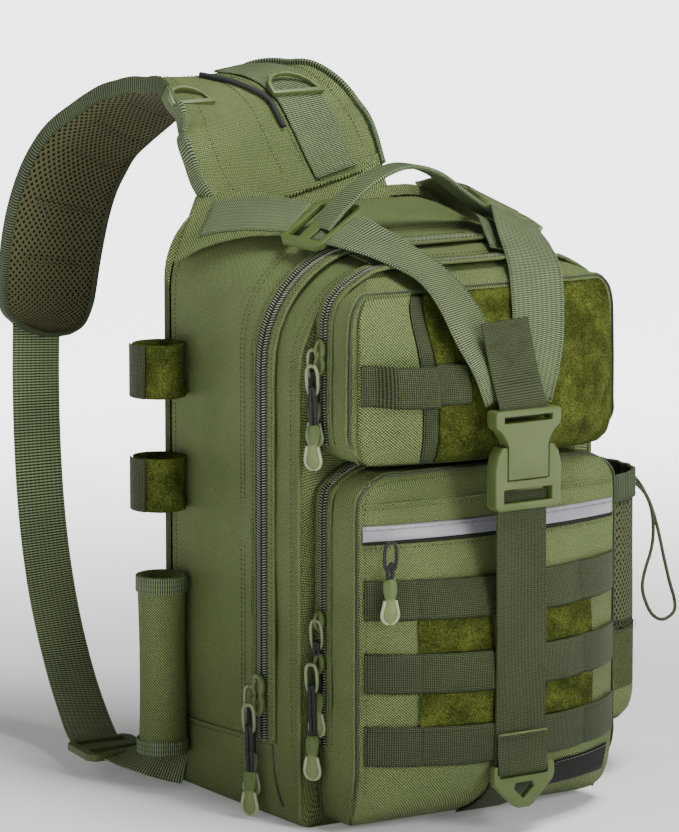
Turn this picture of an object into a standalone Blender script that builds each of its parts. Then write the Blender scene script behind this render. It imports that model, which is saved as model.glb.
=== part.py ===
# Fishing tackle sling bag, in metres, +Z up, resting on the centre of its base at the origin.
# The front faces -Y, the padded back faces +Y and the rod sleeve is on the -X side.

from math import cos, pi, radians, sin

import bmesh
import bpy
from mathutils import Matrix, Vector

for old in list(bpy.data.objects):
    bpy.data.objects.remove(old)

# Clearances and cloth
CLEAR = 0.0003
SEAM_CLEAR = 0.0006
CLOTH = 0.0024
WEBBING = 0.0017
WIDE_WEBBING = 0.038
ROW_WEBBING = 0.0262

# Main compartment
BODY_WIDTH = 0.254
BODY_HEIGHT = 0.414
BODY_FRONT = -0.062
BODY_DEPTH = 0.164
BODY_CORNER_RADIUS = 0.077
BODY_FOOT = 0.012
PAD_THICKNESS = 0.014
PAD_LIP = 0.007

# Columns: depth from the front, width, height, corner, foot radius, all as shares
BODY_SECTIONS = (
    (0.00, 0.960, 0.938, 0.95, 0.55),
    (0.04, 0.985, 0.948, 0.98, 0.80),
    (0.25, 1.000, 0.962, 1.00, 1.00),
    (0.50, 1.000, 0.984, 0.92, 1.00),
    (0.78, 1.000, 0.998, 0.80, 1.00),
    (1.00, 0.994, 1.000, 0.68, 1.00),
)
FOOT_STEPS = 2
CORNER_STEPS = 6

# Front pockets
LOWER_WIDTH = 0.216
LOWER_HEIGHT = 0.249
LOWER_BASE = 0.004
LOWER_DEPTH = 0.050
LOWER_CROWN = 0.039
UPPER_WIDTH = 0.221
UPPER_HEIGHT = 0.132
UPPER_BASE = 0.2565
UPPER_DEPTH = 0.041
UPPER_CROWN = 0.036
UPPER_SHIFT = 0.002
CROWN_STEPS = 10
CROWN_POWER = 2.3

# Columns: height, width, depth, crown, all as shares
LOWER_SECTIONS = (
    (0.000, 0.900, 0.50, 0.02),
    (0.014, 0.950, 0.66, 0.10),
    (0.055, 0.985, 0.86, 0.42),
    (0.115, 0.995, 0.96, 0.76),
    (0.205, 1.000, 1.00, 0.97),
    (0.400, 1.000, 1.00, 1.00),
    (0.600, 1.000, 1.00, 0.88),
    (0.760, 1.000, 1.00, 0.60),
    (0.860, 1.000, 1.00, 0.32),
    (0.910, 0.998, 1.00, 0.22),
    (0.950, 0.975, 1.00, 0.13),
    (0.980, 0.920, 1.00, 0.07),
    (1.000, 0.780, 0.97, 0.02),
)
UPPER_SECTIONS = (
    (0.000, 0.780, 0.86, 0.30),
    (0.035, 0.905, 0.95, 0.50),
    (0.100, 0.975, 1.00, 0.80),
    (0.190, 1.000, 1.00, 0.98),
    (0.400, 1.000, 1.00, 1.00),
    (0.620, 0.995, 1.00, 0.68),
    (0.750, 0.990, 1.00, 0.36),
    (0.830, 0.970, 1.00, 0.16),
    (0.880, 0.935, 1.00, 0.06),
    (0.910, 0.880, 0.97, 0.00),
    (0.955, 0.800, 0.66, 0.00),
    (1.000, 0.690, 0.34, 0.00),
)

# Webbing rows, patches and panels on the pocket fronts
ROW_LOW = 0.055
ROW_PITCH = 0.0508
ROW_EDGE = 0.003
STRIPE_LOW = 0.2095
STRIPE_HEIGHT = 0.0105
PATCH_OUT = 0.073
PATCH_IN = 0.0205
LABEL_LEFT = 0.034
LABEL_RIGHT = 0.098
LABEL_LOW = 0.0265
LABEL_HEIGHT = 0.019
PATCH_THICKNESS = 0.0014
HOLSTER_RIGHT = -0.066
HOLSTER_THICKNESS = 0.0022
BINDING_WIDTH = 0.011
BAND_LOW = 0.3035
BAND_HEIGHT = 0.0265
BAND_RIGHT = -0.034
BAND_GAP = 0.0120
PANEL_MARGIN = 0.004
PANEL_FOOT = 0.035
PANEL_TOP = 0.895
STRIP_STAND = 0.0009
UNDER_STRAP_LIFT = 0.003

# Zips and their pulls
ZIP_WIDTH = 0.0085
ZIP_THICKNESS = 0.0015
MAIN_ZIP_Y = -0.0200
LOWER_ZIP_Y = -0.0715
UPPER_ZIP_Y = -0.0735
ZIP_END = 0.055
PULL_WIDTH = 0.0105
PULL_THICKNESS = 0.0042

# Centre strap, buckle and ring
FRONT_CENTRE = 0.0
BUCKLE_WIDTH = 0.054
BUCKLE_DEPTH = 0.0120
BUCKLE_LOW = 0.229
BUCKLE_HEIGHT = 0.069
RING_WIDTH = 0.051
RING_HEIGHT = 0.031
RING_LOW = 0.019
RING_DEPTH = 0.0065

# V straps, locks, wings and carry handle
LOCK_SPREAD = 0.078
LOCK_SHIFT = 0.010
LOCK_Y = -0.005
LOCK_HEIGHT = 0.413
LOCK_WIDTH = 0.054
LOCK_LENGTH = 0.038
LOCK_THICKNESS = 0.005
LOCK_BAR = 0.006
V_REACH = 0.142
V_DROP = 0.107
V_FOOT_SPREAD = 0.0195
JUNCTION_TOP = 0.354
HANDLE_RISE = 0.040
HANDLE_WIDTH = 0.026

# Shoulder strap
YOKE_WIDTH = 0.150
STRAP_THICKNESS = 0.012
STRAP_RISE = 0.074
STRAP_REACH = 0.180
STRAP_SWEEP = 0.113
RING_BAR = 0.0038
TAPE_SHIFT = 0.030
LOWER_LOCK_X = -0.151
LOWER_LOCK_Y = 0.152
LOWER_LOCK_HEIGHT = 0.019

# Rod sleeve, side pocket and draw cord
SLEEVE_RADIUS = 0.0175
SLEEVE_LOW = 0.029
SLEEVE_HEIGHT = 0.129
SLEEVE_Y = 0.087
LOOP_RADIUS = 0.0190
LOOP_HEIGHT = 0.038
LOOP_LOW = 0.206
LOOP_HIGH = 0.287
SIDE_LENGTH = 0.104
SIDE_BULGE = 0.060
SIDE_CENTRE_Y = -0.009
SIDE_LOW = 0.045
SIDE_HEIGHT = 0.180
CORD_DIAMETER = 0.0026


def material(name, colour, roughness, metallic=0.0):
    made = bpy.data.materials.new(name)
    made.use_nodes = True
    shader = made.node_tree.nodes["Principled BSDF"]
    shader.inputs["Base Color"].default_value = (*colour, 1.0)
    shader.inputs["Roughness"].default_value = roughness
    shader.inputs["Metallic"].default_value = metallic
    made.diffuse_color = (*colour, 1.0)
    return made


CLOTH_GREEN = material("cloth_green", (0.115, 0.150, 0.055), 0.85)
WEB_GREEN = material("webbing_green", (0.072, 0.095, 0.045), 0.80)
LOOP_GREEN = material("loop_green", (0.110, 0.115, 0.020), 0.95)
PLASTIC_GREEN = material("plastic_green", (0.150, 0.200, 0.080), 0.45)
ZIP_GREEN = material("zip_green", (0.060, 0.080, 0.040), 0.60)
TAB_GREEN = material("tab_green", (0.240, 0.320, 0.150), 0.50)
MESH_GREEN = material("mesh_green", (0.085, 0.080, 0.040), 0.90)
STRIPE_GREY = material("stripe_grey", (0.420, 0.440, 0.460), 0.35)
LABEL_DARK = material("label_dark", (0.020, 0.018, 0.016), 0.70)
CORD_GREEN = material("cord_green", (0.035, 0.045, 0.025), 0.75)


def finish(name, mesh_work, look):
    bmesh.ops.remove_doubles(mesh_work, verts=mesh_work.verts, dist=1e-7)
    bmesh.ops.recalc_face_normals(mesh_work, faces=mesh_work.faces)
    mesh = bpy.data.meshes.new(name)
    mesh_work.to_mesh(mesh)
    mesh_work.free()
    made = bpy.data.objects.new(name, mesh)
    bpy.context.scene.collection.objects.link(made)
    mesh.materials.append(look)
    mesh.shade_smooth()
    mesh.set_sharp_from_angle(angle=radians(35))
    return made


def loft(name, rings, look, looped=False):
    # Skins a run of rings that have the same number of corners, with flat ends or as a closed loop
    work = bmesh.new()
    rows = [[work.verts.new(corner) for corner in ring] for ring in rings]
    pairs = list(zip(rows, rows[1:]))
    if looped:
        pairs.append((rows[-1], rows[0]))
    for first, second in pairs:
        count = len(first)
        for i in range(count):
            j = (i + 1) % count
            work.faces.new((first[i], first[j], second[j], second[i]))
    if not looped:
        work.faces.new(list(reversed(rows[0])))
        work.faces.new(rows[-1])
    return finish(name, work, look)


def cut(piece, cutter):
    cutter.hide_render = True
    cutter.display_type = "WIRE"
    change = piece.modifiers.new("cut_" + cutter.name, "BOOLEAN")
    change.operation = "DIFFERENCE"
    change.solver = "EXACT"
    change.object = cutter


def box(name, low, high, look):
    work = bmesh.new()
    bmesh.ops.create_cube(work, size=1.0)
    size = Vector(high) - Vector(low)
    bmesh.ops.scale(work, vec=size, verts=work.verts)
    bmesh.ops.translate(work, vec=(Vector(low) + Vector(high)) / 2, verts=work.verts)
    return finish(name, work, look)


def between(table, share):
    # The columns of a table at any share of its first column
    for first, second in zip(table, table[1:]):
        if share <= second[0]:
            part = (share - first[0]) / (second[0] - first[0])
            part = min(max(part, 0.0), 1.0)
            return [a + (b - a) * part for a, b in zip(first, second)]
    return list(table[-1])


def smooth_run(points, steps):
    # Catmull-Rom curve through hand-chosen points
    ends = [points[0] * 2 - points[1], *points, points[-1] * 2 - points[-2]]
    run = []
    for before, start, stop, after in zip(ends, ends[1:], ends[2:], ends[3:]):
        for i in range(steps):
            t = i / steps
            a = (stop - before) * 0.5
            b = before - start * 2.5 + stop * 2 - after * 0.5
            c = (after - before) * 0.5 + (start - stop) * 1.5
            run.append(start + a * t + b * t * t + c * t * t * t)
    run.append(points[-1].copy())
    return run


def directions(points):
    last = len(points) - 1
    return [(points[min(i + 1, last)] - points[max(i - 1, 0)]).normalized() for i in range(last + 1)]


def ribbon(name, points, across, widths, thickness, look, tangents=None, looped=False):
    # A flat strap along a run of points; across gives its width direction at each point
    rings = []
    tangents = tangents or directions(points)
    for point, side, width, along in zip(points, across, widths, tangents):
        side = side.normalized()
        up = side.cross(along).normalized()
        half = side * (width / 2)
        rise = up * (thickness / 2)
        rings.append([point - half - rise, point + half - rise, point + half + rise, point - half + rise])
    return loft(name, rings, look, looped)


# Main compartment

def arch(half, low, high, corner):
    # From the foot of the left side, over the top, to the foot of the right side
    quarter = [(pi / 2) * i / CORNER_STEPS for i in range(CORNER_STEPS + 1)]
    left = [(-half + corner - corner * cos(a), high - corner + corner * sin(a)) for a in quarter]
    right = [(-x, z) for x, z in reversed(left)]
    return [(-half, low), *left, *right, (half, low)]


def body_arch(y, low, grow=0.0):
    _, width, height, corner, _ = between(BODY_SECTIONS, (y - BODY_FRONT) / BODY_DEPTH)
    half = BODY_WIDTH / 2 * width + grow
    return arch(half, low, BODY_HEIGHT * height + grow, BODY_CORNER_RADIUS * corner + grow)


def body_ring(y, grow=0.0):
    foot = BODY_FOOT * between(BODY_SECTIONS, (y - BODY_FRONT) / BODY_DEPTH)[4] + grow
    low = -grow
    path = body_arch(y, low + foot, grow)
    half = path[-1][0]
    quarter = [(pi / 2) * i / FOOT_STEPS for i in range(1, FOOT_STEPS + 1)]
    right = [(half - foot + foot * cos(a), low + foot - foot * sin(a)) for a in quarter]
    left = [(-x, z) for x, z in reversed(right)]
    return [Vector((x, y, z)) for x, z in [*path, *right, *left]]


BODY_BACK = BODY_FRONT + BODY_DEPTH


def make_main_shell():
    stations = [BODY_FRONT + BODY_DEPTH * row[0] for row in BODY_SECTIONS]
    shell = loft("main_shell", [body_ring(y) for y in stations], CLOTH_GREEN)
    inside = [BODY_FRONT + CLOTH, *stations[2:-1], BODY_BACK + BODY_FOOT]
    cut(shell, loft("main_hollow", [body_ring(y, -CLOTH) for y in inside], CLOTH_GREEN))


def make_back_panel():
    start = BODY_BACK + CLEAR
    bulge = ((0.0, 0.0), (0.35, 0.0), (0.8, -0.0025), (1.0, -0.007))
    rings = []
    for depth, grow in bulge:
        ring = body_ring(BODY_BACK, grow)
        for corner in ring:
            corner.y = start + PAD_THICKNESS * depth
            if corner.z > BODY_HEIGHT / 2:
                corner.z += PAD_LIP * min(1.0, depth / bulge[1][0])
        rings.append(ring)
    loft("back_panel", rings, MESH_GREEN)


def arch_strip(name, path_at, low_y, high_y, thickness, stand, look):
    # A strip that lies on the outside of an arch, between two depths
    edges = [path_at(low_y), path_at(high_y)]
    outs = []
    for path in edges:
        flat = [Vector((x, 0.0, z)) for x, z in path]
        outs.append([Vector((-d.z, 0.0, d.x)) for d in directions(flat)])
    rings = []
    for i in range(len(edges[0])):
        ring = []
        for reach, order in ((stand, (0, 1)), (stand + thickness, (1, 0))):
            for k in order:
                x, z = edges[k][i]
                ring.append(Vector((x, (low_y, high_y)[k], z)) + outs[k][i] * reach)
        rings.append(ring)
    return loft(name, rings, look)


def make_main_zip():
    arch_strip("main_zip", lambda y: body_arch(y, ZIP_END), MAIN_ZIP_Y - ZIP_WIDTH / 2,
               MAIN_ZIP_Y + ZIP_WIDTH / 2, ZIP_THICKNESS, SEAM_CLEAR, ZIP_GREEN)


# Front pockets

class Pocket:
    def __init__(self, table, width, low, height, depth, crown, shift=0.0):
        self.table = table
        self.width = width
        self.low = low
        self.height = height
        self.back = BODY_FRONT - CLEAR
        self.depth = depth
        self.crown = crown
        self.shift = shift

    def level(self, z, grow=0.0):
        _, width, depth, crown = between(self.table, (z - self.low) / self.height)
        return self.width / 2 * width + grow, self.back - self.depth * depth - grow, self.crown * crown

    def crown_at(self, share):
        return 1.0 - abs(2.0 * share - 1.0) ** CROWN_POWER

    def point(self, share, z):
        # A place on the front, with its share of the way across
        half, side, crown = self.level(z)
        place = share * CROWN_STEPS
        step = min(int(place), CROWN_STEPS - 1)
        near, far = self.crown_at(step / CROWN_STEPS), self.crown_at((step + 1) / CROWN_STEPS)
        proud = crown * (near + (far - near) * (place - step))
        return Vector((self.shift - half + 2 * half * share, side - proud, z))

    def share_of(self, x):
        return (x - self.shift) / self.width + 0.5

    def front(self, x, z):
        return self.point(self.share_of(x), z).y

    def ring(self, z, level_z, grow=0.0, back=None):
        half, side, crown = self.level(level_z, grow)
        back = self.back if back is None else back
        shares = [i / CROWN_STEPS for i in range(CROWN_STEPS + 1)]
        front = [(self.shift - half + 2 * half * s, side - crown * self.crown_at(s)) for s in shares]
        outline = [(self.shift - half, back), *front, (self.shift + half, back)]
        return [Vector((x, y, z)) for x, y in outline]

    def levels(self):
        return [self.low + self.height * row[0] for row in self.table]

    def make(self, name):
        levels = self.levels()
        shell = loft(name, [self.ring(z, z) for z in levels], CLOTH_GREEN)
        low, high = levels[0] + CLOTH, levels[-1] - CLOTH
        inside = [low, *[z for z in levels[1:-1] if low + CLOTH < z < high - CLOTH], high]
        behind = self.back + self.depth / 2
        rings = [self.ring(z, z, -CLOTH, behind) for z in inside]
        cut(shell, loft(name + "_hollow", rings, CLOTH_GREEN))

    def side_path(self, low):
        # The gusset's outline from the left foot over the top to the right foot
        levels = [low, *[z for z in self.levels() if z > low + CLOTH]]
        left = [(self.shift - self.level(z)[0], z) for z in levels]
        right = [(2 * self.shift - x, z) for x, z in reversed(left)]
        return [*left, *right]

    def columns(self, start, stop):
        # Shares where the facets of the crown meet, between two shares of the front
        found = [i / CROWN_STEPS for i in range(CROWN_STEPS + 1)]
        return [start, *[share for share in found if start + 0.01 < share < stop - 0.01], stop]

    def heights(self, low, high):
        return [low, *[z for z in self.levels() if low + 0.0015 < z < high - 0.0015], high]


LOWER = Pocket(LOWER_SECTIONS, LOWER_WIDTH, LOWER_BASE, LOWER_HEIGHT, LOWER_DEPTH, LOWER_CROWN)
UPPER = Pocket(UPPER_SECTIONS, UPPER_WIDTH, UPPER_BASE, UPPER_HEIGHT, UPPER_DEPTH, UPPER_CROWN, UPPER_SHIFT)
STRAP_Y = LOWER.front(FRONT_CENTRE, ROW_LOW + ROW_PITCH) - SEAM_CLEAR * 2 - WEBBING * 1.5


def front_panel(name, pocket, start, stop, low, high, thickness, look, stand=SEAM_CLEAR, proud=()):
    # A sheet that follows a pocket's front between two shares of its width and two heights
    columns = pocket.columns(start, stop)
    columns = sorted({*columns, *[start + (stop - start) * row[0] for row in proud]})
    rings = []
    for share in columns:
        reach = stand
        if proud:
            reach += between(proud, (share - start) / (stop - start))[1]
        inner = [pocket.point(share, z) - Vector((0.0, reach, 0.0)) for z in pocket.heights(low, high)]
        outer = [point - Vector((0.0, thickness, 0.0)) for point in reversed(inner)]
        rings.append([*inner, *outer])
    return loft(name, rings, look)


def make_front_strips():
    edge = ROW_EDGE / LOWER_WIDTH
    for i, name in enumerate(("molle_row_low", "molle_row_mid", "molle_row_top")):
        low = ROW_LOW + ROW_PITCH * i
        front_panel(name, LOWER, edge, 1 - edge, low, low + ROW_WEBBING, WEBBING, WEB_GREEN, STRIP_STAND)
    front_panel("reflective_strip", LOWER, edge, 1 - edge, STRIPE_LOW, STRIPE_LOW + STRIPE_HEIGHT,
                PATCH_THICKNESS, STRIPE_GREY, STRIP_STAND * 1.3)
    sides = (("left", -PATCH_OUT, -PATCH_IN), ("right", PATCH_IN, PATCH_OUT))
    for i, tier in enumerate(("low", "high")):
        low = ROW_LOW + ROW_WEBBING + ROW_PITCH * i + CLEAR
        high = ROW_LOW + ROW_PITCH * (i + 1) - CLEAR
        for side, start, stop in sides:
            front_panel(f"loop_patch_{side}_{tier}", LOWER, LOWER.share_of(start), LOWER.share_of(stop),
                        low, high, PATCH_THICKNESS, LOOP_GREEN)
    front_panel("label_patch", LOWER, LOWER.share_of(LABEL_LEFT), LOWER.share_of(LABEL_RIGHT), LABEL_LOW,
                LABEL_LOW + LABEL_HEIGHT, PATCH_THICKNESS, LABEL_DARK, STRIP_STAND)
    half = WIDE_WEBBING / 2
    front_panel("under_strap", LOWER, LOWER.share_of(FRONT_CENTRE - half), LOWER.share_of(FRONT_CENTRE + half),
                LOWER_BASE + UNDER_STRAP_LIFT, ROW_LOW - CLEAR, WEBBING, WEB_GREEN, STRIP_STAND)


def make_upper_front():
    edge = PANEL_MARGIN / UPPER_WIDTH
    low = UPPER_BASE + UPPER_HEIGHT * PANEL_FOOT
    high = UPPER_BASE + UPPER_HEIGHT * PANEL_TOP
    seam = UPPER.share_of(HOLSTER_RIGHT)
    gap = SEAM_CLEAR * 3 / UPPER_WIDTH
    bound = seam + BINDING_WIDTH / UPPER_WIDTH
    front_panel("tool_holster", UPPER, edge, seam, low, high, HOLSTER_THICKNESS, CLOTH_GREEN, STRIP_STAND)
    front_panel("holster_binding", UPPER, seam + gap, bound, low, high, HOLSTER_THICKNESS, WEB_GREEN,
                STRIP_STAND)
    front_panel("loop_panel", UPPER, bound + gap, 1 - edge, low, high, PATCH_THICKNESS, LOOP_GREEN,
                STRIP_STAND)
    stand = STRIP_STAND * 1.5 + HOLSTER_THICKNESS + SEAM_CLEAR
    proud = ((0.0, 0.0), (0.10, 0.0), (0.24, BAND_GAP), (0.56, BAND_GAP), (0.72, 0.0), (1.0, 0.0))
    front_panel("holster_band", UPPER, edge, UPPER.share_of(BAND_RIGHT), BAND_LOW, BAND_LOW + BAND_HEIGHT,
                WEBBING, WEB_GREEN, stand, proud)


def make_pockets():
    LOWER.make("lower_pocket")
    UPPER.make("upper_pocket")
    half = ZIP_WIDTH / 2
    arch_strip("lower_zip", lambda y: LOWER.side_path(ZIP_END), LOWER_ZIP_Y - half, LOWER_ZIP_Y + half,
               ZIP_THICKNESS, SEAM_CLEAR, ZIP_GREEN)
    arch_strip("upper_zip", lambda y: UPPER.side_path(UPPER_BASE + UPPER_HEIGHT * 0.1), UPPER_ZIP_Y - half,
               UPPER_ZIP_Y + half, ZIP_THICKNESS, SEAM_CLEAR, ZIP_GREEN)


# Zip pulls: slider, cord and rubber tab in one piece

# Columns: share of the length, width and thickness
PULL_SECTIONS = (
    (0.00, 0.70, 0.80),
    (0.10, 0.80, 0.95),
    (0.17, 0.42, 0.60),
    (0.22, 0.26, 0.60),
    (0.54, 0.26, 0.60),
    (0.56, 0.72, 0.85),
    (0.60, 0.90, 1.00),
    (0.72, 0.80, 1.00),
    (0.88, 0.98, 1.00),
    (0.96, 0.85, 0.90),
    (1.00, 0.50, 0.60),
)


def make_pull(name, top, length, across, lean):
    # It hangs from its slider at top, its width along across, leaning away by lean over its length
    side = Vector(across).normalized()
    fall = Vector((lean[0], lean[1], -1.0)).normalized()
    rings = []
    for share, width, thick in PULL_SECTIONS:
        point = Vector(top) + fall * (length * share)
        up = side.cross(fall).normalized() * (PULL_THICKNESS * thick / 2)
        half = side * (PULL_WIDTH * width / 2)
        rings.append([point - half - up, point + half - up, point + half + up, point - half + up])
    return loft(name, rings, TAB_GREEN)


def make_pulls():
    stand = SEAM_CLEAR + ZIP_THICKNESS + CLEAR + PULL_THICKNESS / 2
    side = -BODY_WIDTH / 2 - stand
    across = (0.0, 1.0, 0.0)
    make_pull("main_pull_upper", (side, MAIN_ZIP_Y + 0.001, 0.098), 0.082, across, (0.0, 0.06))
    make_pull("main_pull_lower", (side - PULL_THICKNESS - CLEAR, MAIN_ZIP_Y - 0.002, 0.086), 0.084,
              across, (0.0, 0.02))
    side = -LOWER_WIDTH / 2 - stand
    make_pull("lower_pull_upper", (side, LOWER_ZIP_Y - 0.001, 0.152), 0.085, across, (0.0, 0.01))
    make_pull("lower_pull_lower", (side - PULL_THICKNESS - CLEAR, LOWER_ZIP_Y - 0.001, 0.122), 0.085,
              across, (0.0, 0.0))
    side = UPPER_SHIFT - UPPER_WIDTH / 2 - stand
    make_pull("upper_pull_left", (side, UPPER_ZIP_Y + 0.001, 0.340), 0.070, across, (0.0, 0.07))
    make_pull("upper_pull_right", (side - PULL_THICKNESS - CLEAR, UPPER_ZIP_Y - 0.001, 0.330), 0.075,
              across, (0.0, 0.0))
    x = -0.093
    stand = SEAM_CLEAR * 2 + PATCH_THICKNESS + WEBBING + PULL_THICKNESS / 2 + CLEAR
    y = LOWER.front(x, ROW_LOW + ROW_PITCH * 2) - stand
    make_pull("flap_pull", (x, y, STRIPE_LOW - 0.002), 0.060, (1.0, -0.35, 0.0), (0.0, 0.0))


# Centre strap, buckle and ring

def plate(name, outline, front, depth, look):
    # A flat piece with its outline in the XZ plane
    rings = [[Vector((x, y, z)) for x, z in outline] for y in (front, front + depth)]
    return loft(name, rings, look)


def bar_channel(piece, name, front, low, high, look):
    # Room behind a bar for the webbing that goes round it
    slot = WIDE_WEBBING / 2 + 0.001
    cut(piece, box(name, (-slot, front, low), (slot, front + 0.03, high), look))


def make_centre_strap():
    low, high = RING_LOW + RING_HEIGHT - 0.006, BUCKLE_LOW + 0.012
    route = [Vector((FRONT_CENTRE, STRAP_Y, low + (high - low) * share)) for share in (0.0, 0.35, 0.7, 1.0)]
    side = [Vector((1.0, 0.0, 0.0))] * len(route)
    ribbon("centre_strap", route, side, [WIDE_WEBBING] * len(route), WEBBING, WEB_GREEN)


def make_buckle():
    half = BUCKLE_WIDTH / 2
    front = STRAP_Y - BUCKLE_DEPTH / 2
    behind = STRAP_Y - WEBBING / 2 - CLEAR
    split = BUCKLE_LOW + BUCKLE_HEIGHT * 0.30
    top = BUCKLE_LOW + BUCKLE_HEIGHT
    waist = half * 0.62
    rise = top - split - CLEAR
    slot = WIDE_WEBBING / 2 + 0.001

    def at(share):
        return split + CLEAR + rise * share

    right = [(waist, at(0.0)), (waist, at(0.50)), (half * 0.68, at(0.58)), (half * 0.80, at(0.68)),
             (half * 0.98, at(0.76)), (half, at(0.84)), (half, at(0.97)), (half * 0.95, at(1.0))]
    outline = [*right, *[(-x, z) for x, z in reversed(right)]]
    socket = plate("buckle_socket", outline, front, BUCKLE_DEPTH, PLASTIC_GREEN)
    cut(socket, box("socket_slot", (-slot, front - 0.01, at(0.82)), (slot, front + 0.03, at(0.91)),
                    PLASTIC_GREEN))
    bar_channel(socket, "socket_channel", behind, at(0.86), top + 0.01, PLASTIC_GREEN)

    low = BUCKLE_LOW
    prong_in = waist + CLEAR * 2
    prong_top = split + rise * 0.48
    right = [(half * 0.90, low), (half, low + 0.003), (half, split + rise * 0.20),
             (half * 0.92, split + rise * 0.38), (half * 0.78, prong_top), (prong_in, prong_top),
             (prong_in, split - CLEAR)]
    outline = [*right, *[(-x, z) for x, z in reversed(right)]]
    plug = plate("buckle_plug", outline, front, BUCKLE_DEPTH, PLASTIC_GREEN)
    cut(plug, box("plug_slot", (-slot, front - 0.01, low + 0.005), (slot, front + 0.03, low + 0.0145),
                  PLASTIC_GREEN))
    bar_channel(plug, "plug_channel", behind, low - 0.01, low + 0.010, PLASTIC_GREEN)


def make_ring():
    half = RING_WIDTH / 2
    front = STRAP_Y - RING_DEPTH / 2
    low, high = RING_LOW, RING_LOW + RING_HEIGHT
    right = [(half * 0.18, low), (half * 0.32, low + 0.002), (half * 0.96, high - 0.013),
             (half, high - 0.009), (half, high - 0.002), (half * 0.94, high)]
    outline = [*right, *[(-x, z) for x, z in reversed(right)]]
    ring = plate("triangle_ring", outline, front, RING_DEPTH, PLASTIC_GREEN)
    slot = WIDE_WEBBING / 2 + 0.001
    cut(ring, box("ring_slot", (-slot, front - 0.01, high - 0.0085), (slot, front + 0.03, high - 0.0030),
                  PLASTIC_GREEN))
    bar_channel(ring, "ring_channel", STRAP_Y - WEBBING / 2 - CLEAR, high - 0.0065, high + 0.01,
                PLASTIC_GREEN)
    eye = [(0.007, high - 0.013), (-0.007, high - 0.013), (-0.0085, high - 0.017), (0.0, high - 0.025),
           (0.0085, high - 0.017)]
    cut(ring, plate("ring_eye", eye, front - 0.01, 0.04, PLASTIC_GREEN))


# V straps, locks, wings and carry handle

# Columns: share of the way forward, spread and drop
V_SECTIONS = (
    (0.00, 1.000, 0.000),
    (0.15, 0.930, 0.030),
    (0.42, 0.690, 0.115),
    (0.67, 0.490, 0.245),
    (0.80, 0.360, 0.415),
    (0.89, 0.250, 0.625),
    (0.96, 0.110, 0.820),
    (1.00, 0.000, 1.000),
)


def v_point(side, forward, spread, drop):
    centre = LOCK_SHIFT + (FRONT_CENTRE - LOCK_SHIFT) * forward
    offset = V_FOOT_SPREAD + (LOCK_SPREAD - V_FOOT_SPREAD) * spread
    return Vector((centre + side * offset, LOCK_Y - V_REACH * forward, LOCK_HEIGHT - V_DROP * drop))


def v_across(side, forward):
    # The strap leans down towards the side of the bag near its lock and lies flat at the front
    lean = 1.0 - min(forward / 0.8, 1.0)
    turn = 0.24 * lean + 0.42 * (1.0 - abs(2 * forward - 1.2)) * (forward < 0.98)
    return Vector((0.9, -side * turn, -side * 0.45 * lean)).normalized()


def lock_frame(side):
    along = Vector((side * -0.30, -0.94, -0.10)).normalized()
    across = v_across(side, 0.0)
    across = (across - along * across.dot(along)).normalized()
    return across, along, across.cross(along).normalized()


def bar_lock(name, centre, across, along, look):
    # Ladder lock: a flat frame with a slot on each side of its middle bar
    up = across.cross(along).normalized()
    turn = Matrix((across, along, up)).transposed().to_4x4()
    turn.translation = centre
    half_w, half_l, half_t = LOCK_WIDTH / 2, LOCK_LENGTH / 2, LOCK_THICKNESS / 2
    nip = 0.005
    outline = [(half_w, -half_l + nip), (half_w, half_l - nip), (half_w - nip, half_l),
               (-half_w + nip, half_l), (-half_w, half_l - nip), (-half_w, -half_l + nip),
               (-half_w + nip, -half_l), (half_w - nip, -half_l)]
    rings = [[turn @ Vector((x, y, z)) for x, y in outline] for z in (-half_t, half_t)]
    frame = loft(name, rings, look)
    slot = WIDE_WEBBING / 2 + 0.001
    for i, centre_y in enumerate((-0.25, 0.25)):
        reach = (half_l - 1.5 * LOCK_BAR) / 2
        middle = LOCK_LENGTH * centre_y
        hole = box(f"{name}_slot_{i}", (-slot, middle - reach, -half_t * 3),
                   (slot, middle + reach, half_t * 3), look)
        hole.matrix_world = turn
        cut(frame, hole)
    return frame


def make_v_side(label, side):
    route = [v_point(side, *row) for row in V_SECTIONS]
    across, along, up = lock_frame(side)
    centre = route[0]
    bar_lock(f"ladder_lock_{label}", centre, across, along, PLASTIC_GREEN)
    start = centre + along * (LOCK_LENGTH / 2 + CLEAR * 3)
    route = [start, *route[2:]]
    shares = [0.12, *[row[0] for row in V_SECTIONS[2:]]]
    run = smooth_run(route, 2)
    sides = []
    for i in range(len(run)):
        k = min(i / 2, len(shares) - 1)
        near = int(k)
        far = min(near + 1, len(shares) - 1)
        sides.append(v_across(side, shares[near] + (shares[far] - shares[near]) * (k - near)))
    ribbon(f"v_strap_{label}", run, sides, [WIDE_WEBBING] * len(run), WEBBING, WEB_GREEN)

    # The wing is sewn to the back corner of the compartment and holds the lock
    back = BODY_BACK + CLEAR
    _, width, height, corner, _ = between(BODY_SECTIONS, 1.0)
    corner_r = BODY_CORNER_RADIUS * corner
    mid_x = side * (BODY_WIDTH / 2 * width - corner_r * 0.42)
    mid_z = BODY_HEIGHT * height - corner_r * 0.42
    seat = Vector((mid_x, back, mid_z))
    seat += Vector((side, 0.0, 1.0)).normalized() * (corner_r * 0.1833 + 0.004)
    end = centre - along * (LOCK_LENGTH / 2 + CLEAR * 3)
    run = [seat, seat.lerp(end, 0.33) + Vector((0, 0, 0.006)),
           seat.lerp(end, 0.67) + Vector((0, 0, 0.005)), end]
    slope = Vector((side * 1.0, 0.0, -1.0)).normalized() * side
    sides = [slope.lerp(across, share) for share in (0.0, 0.35, 0.7, 1.0)]
    widths = [WIDE_WEBBING * 1.75, WIDE_WEBBING * 1.5, WIDE_WEBBING * 1.2, WIDE_WEBBING]
    ribbon(f"wing_{label}", run, sides, widths, CLOTH, CLOTH_GREEN)


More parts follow.
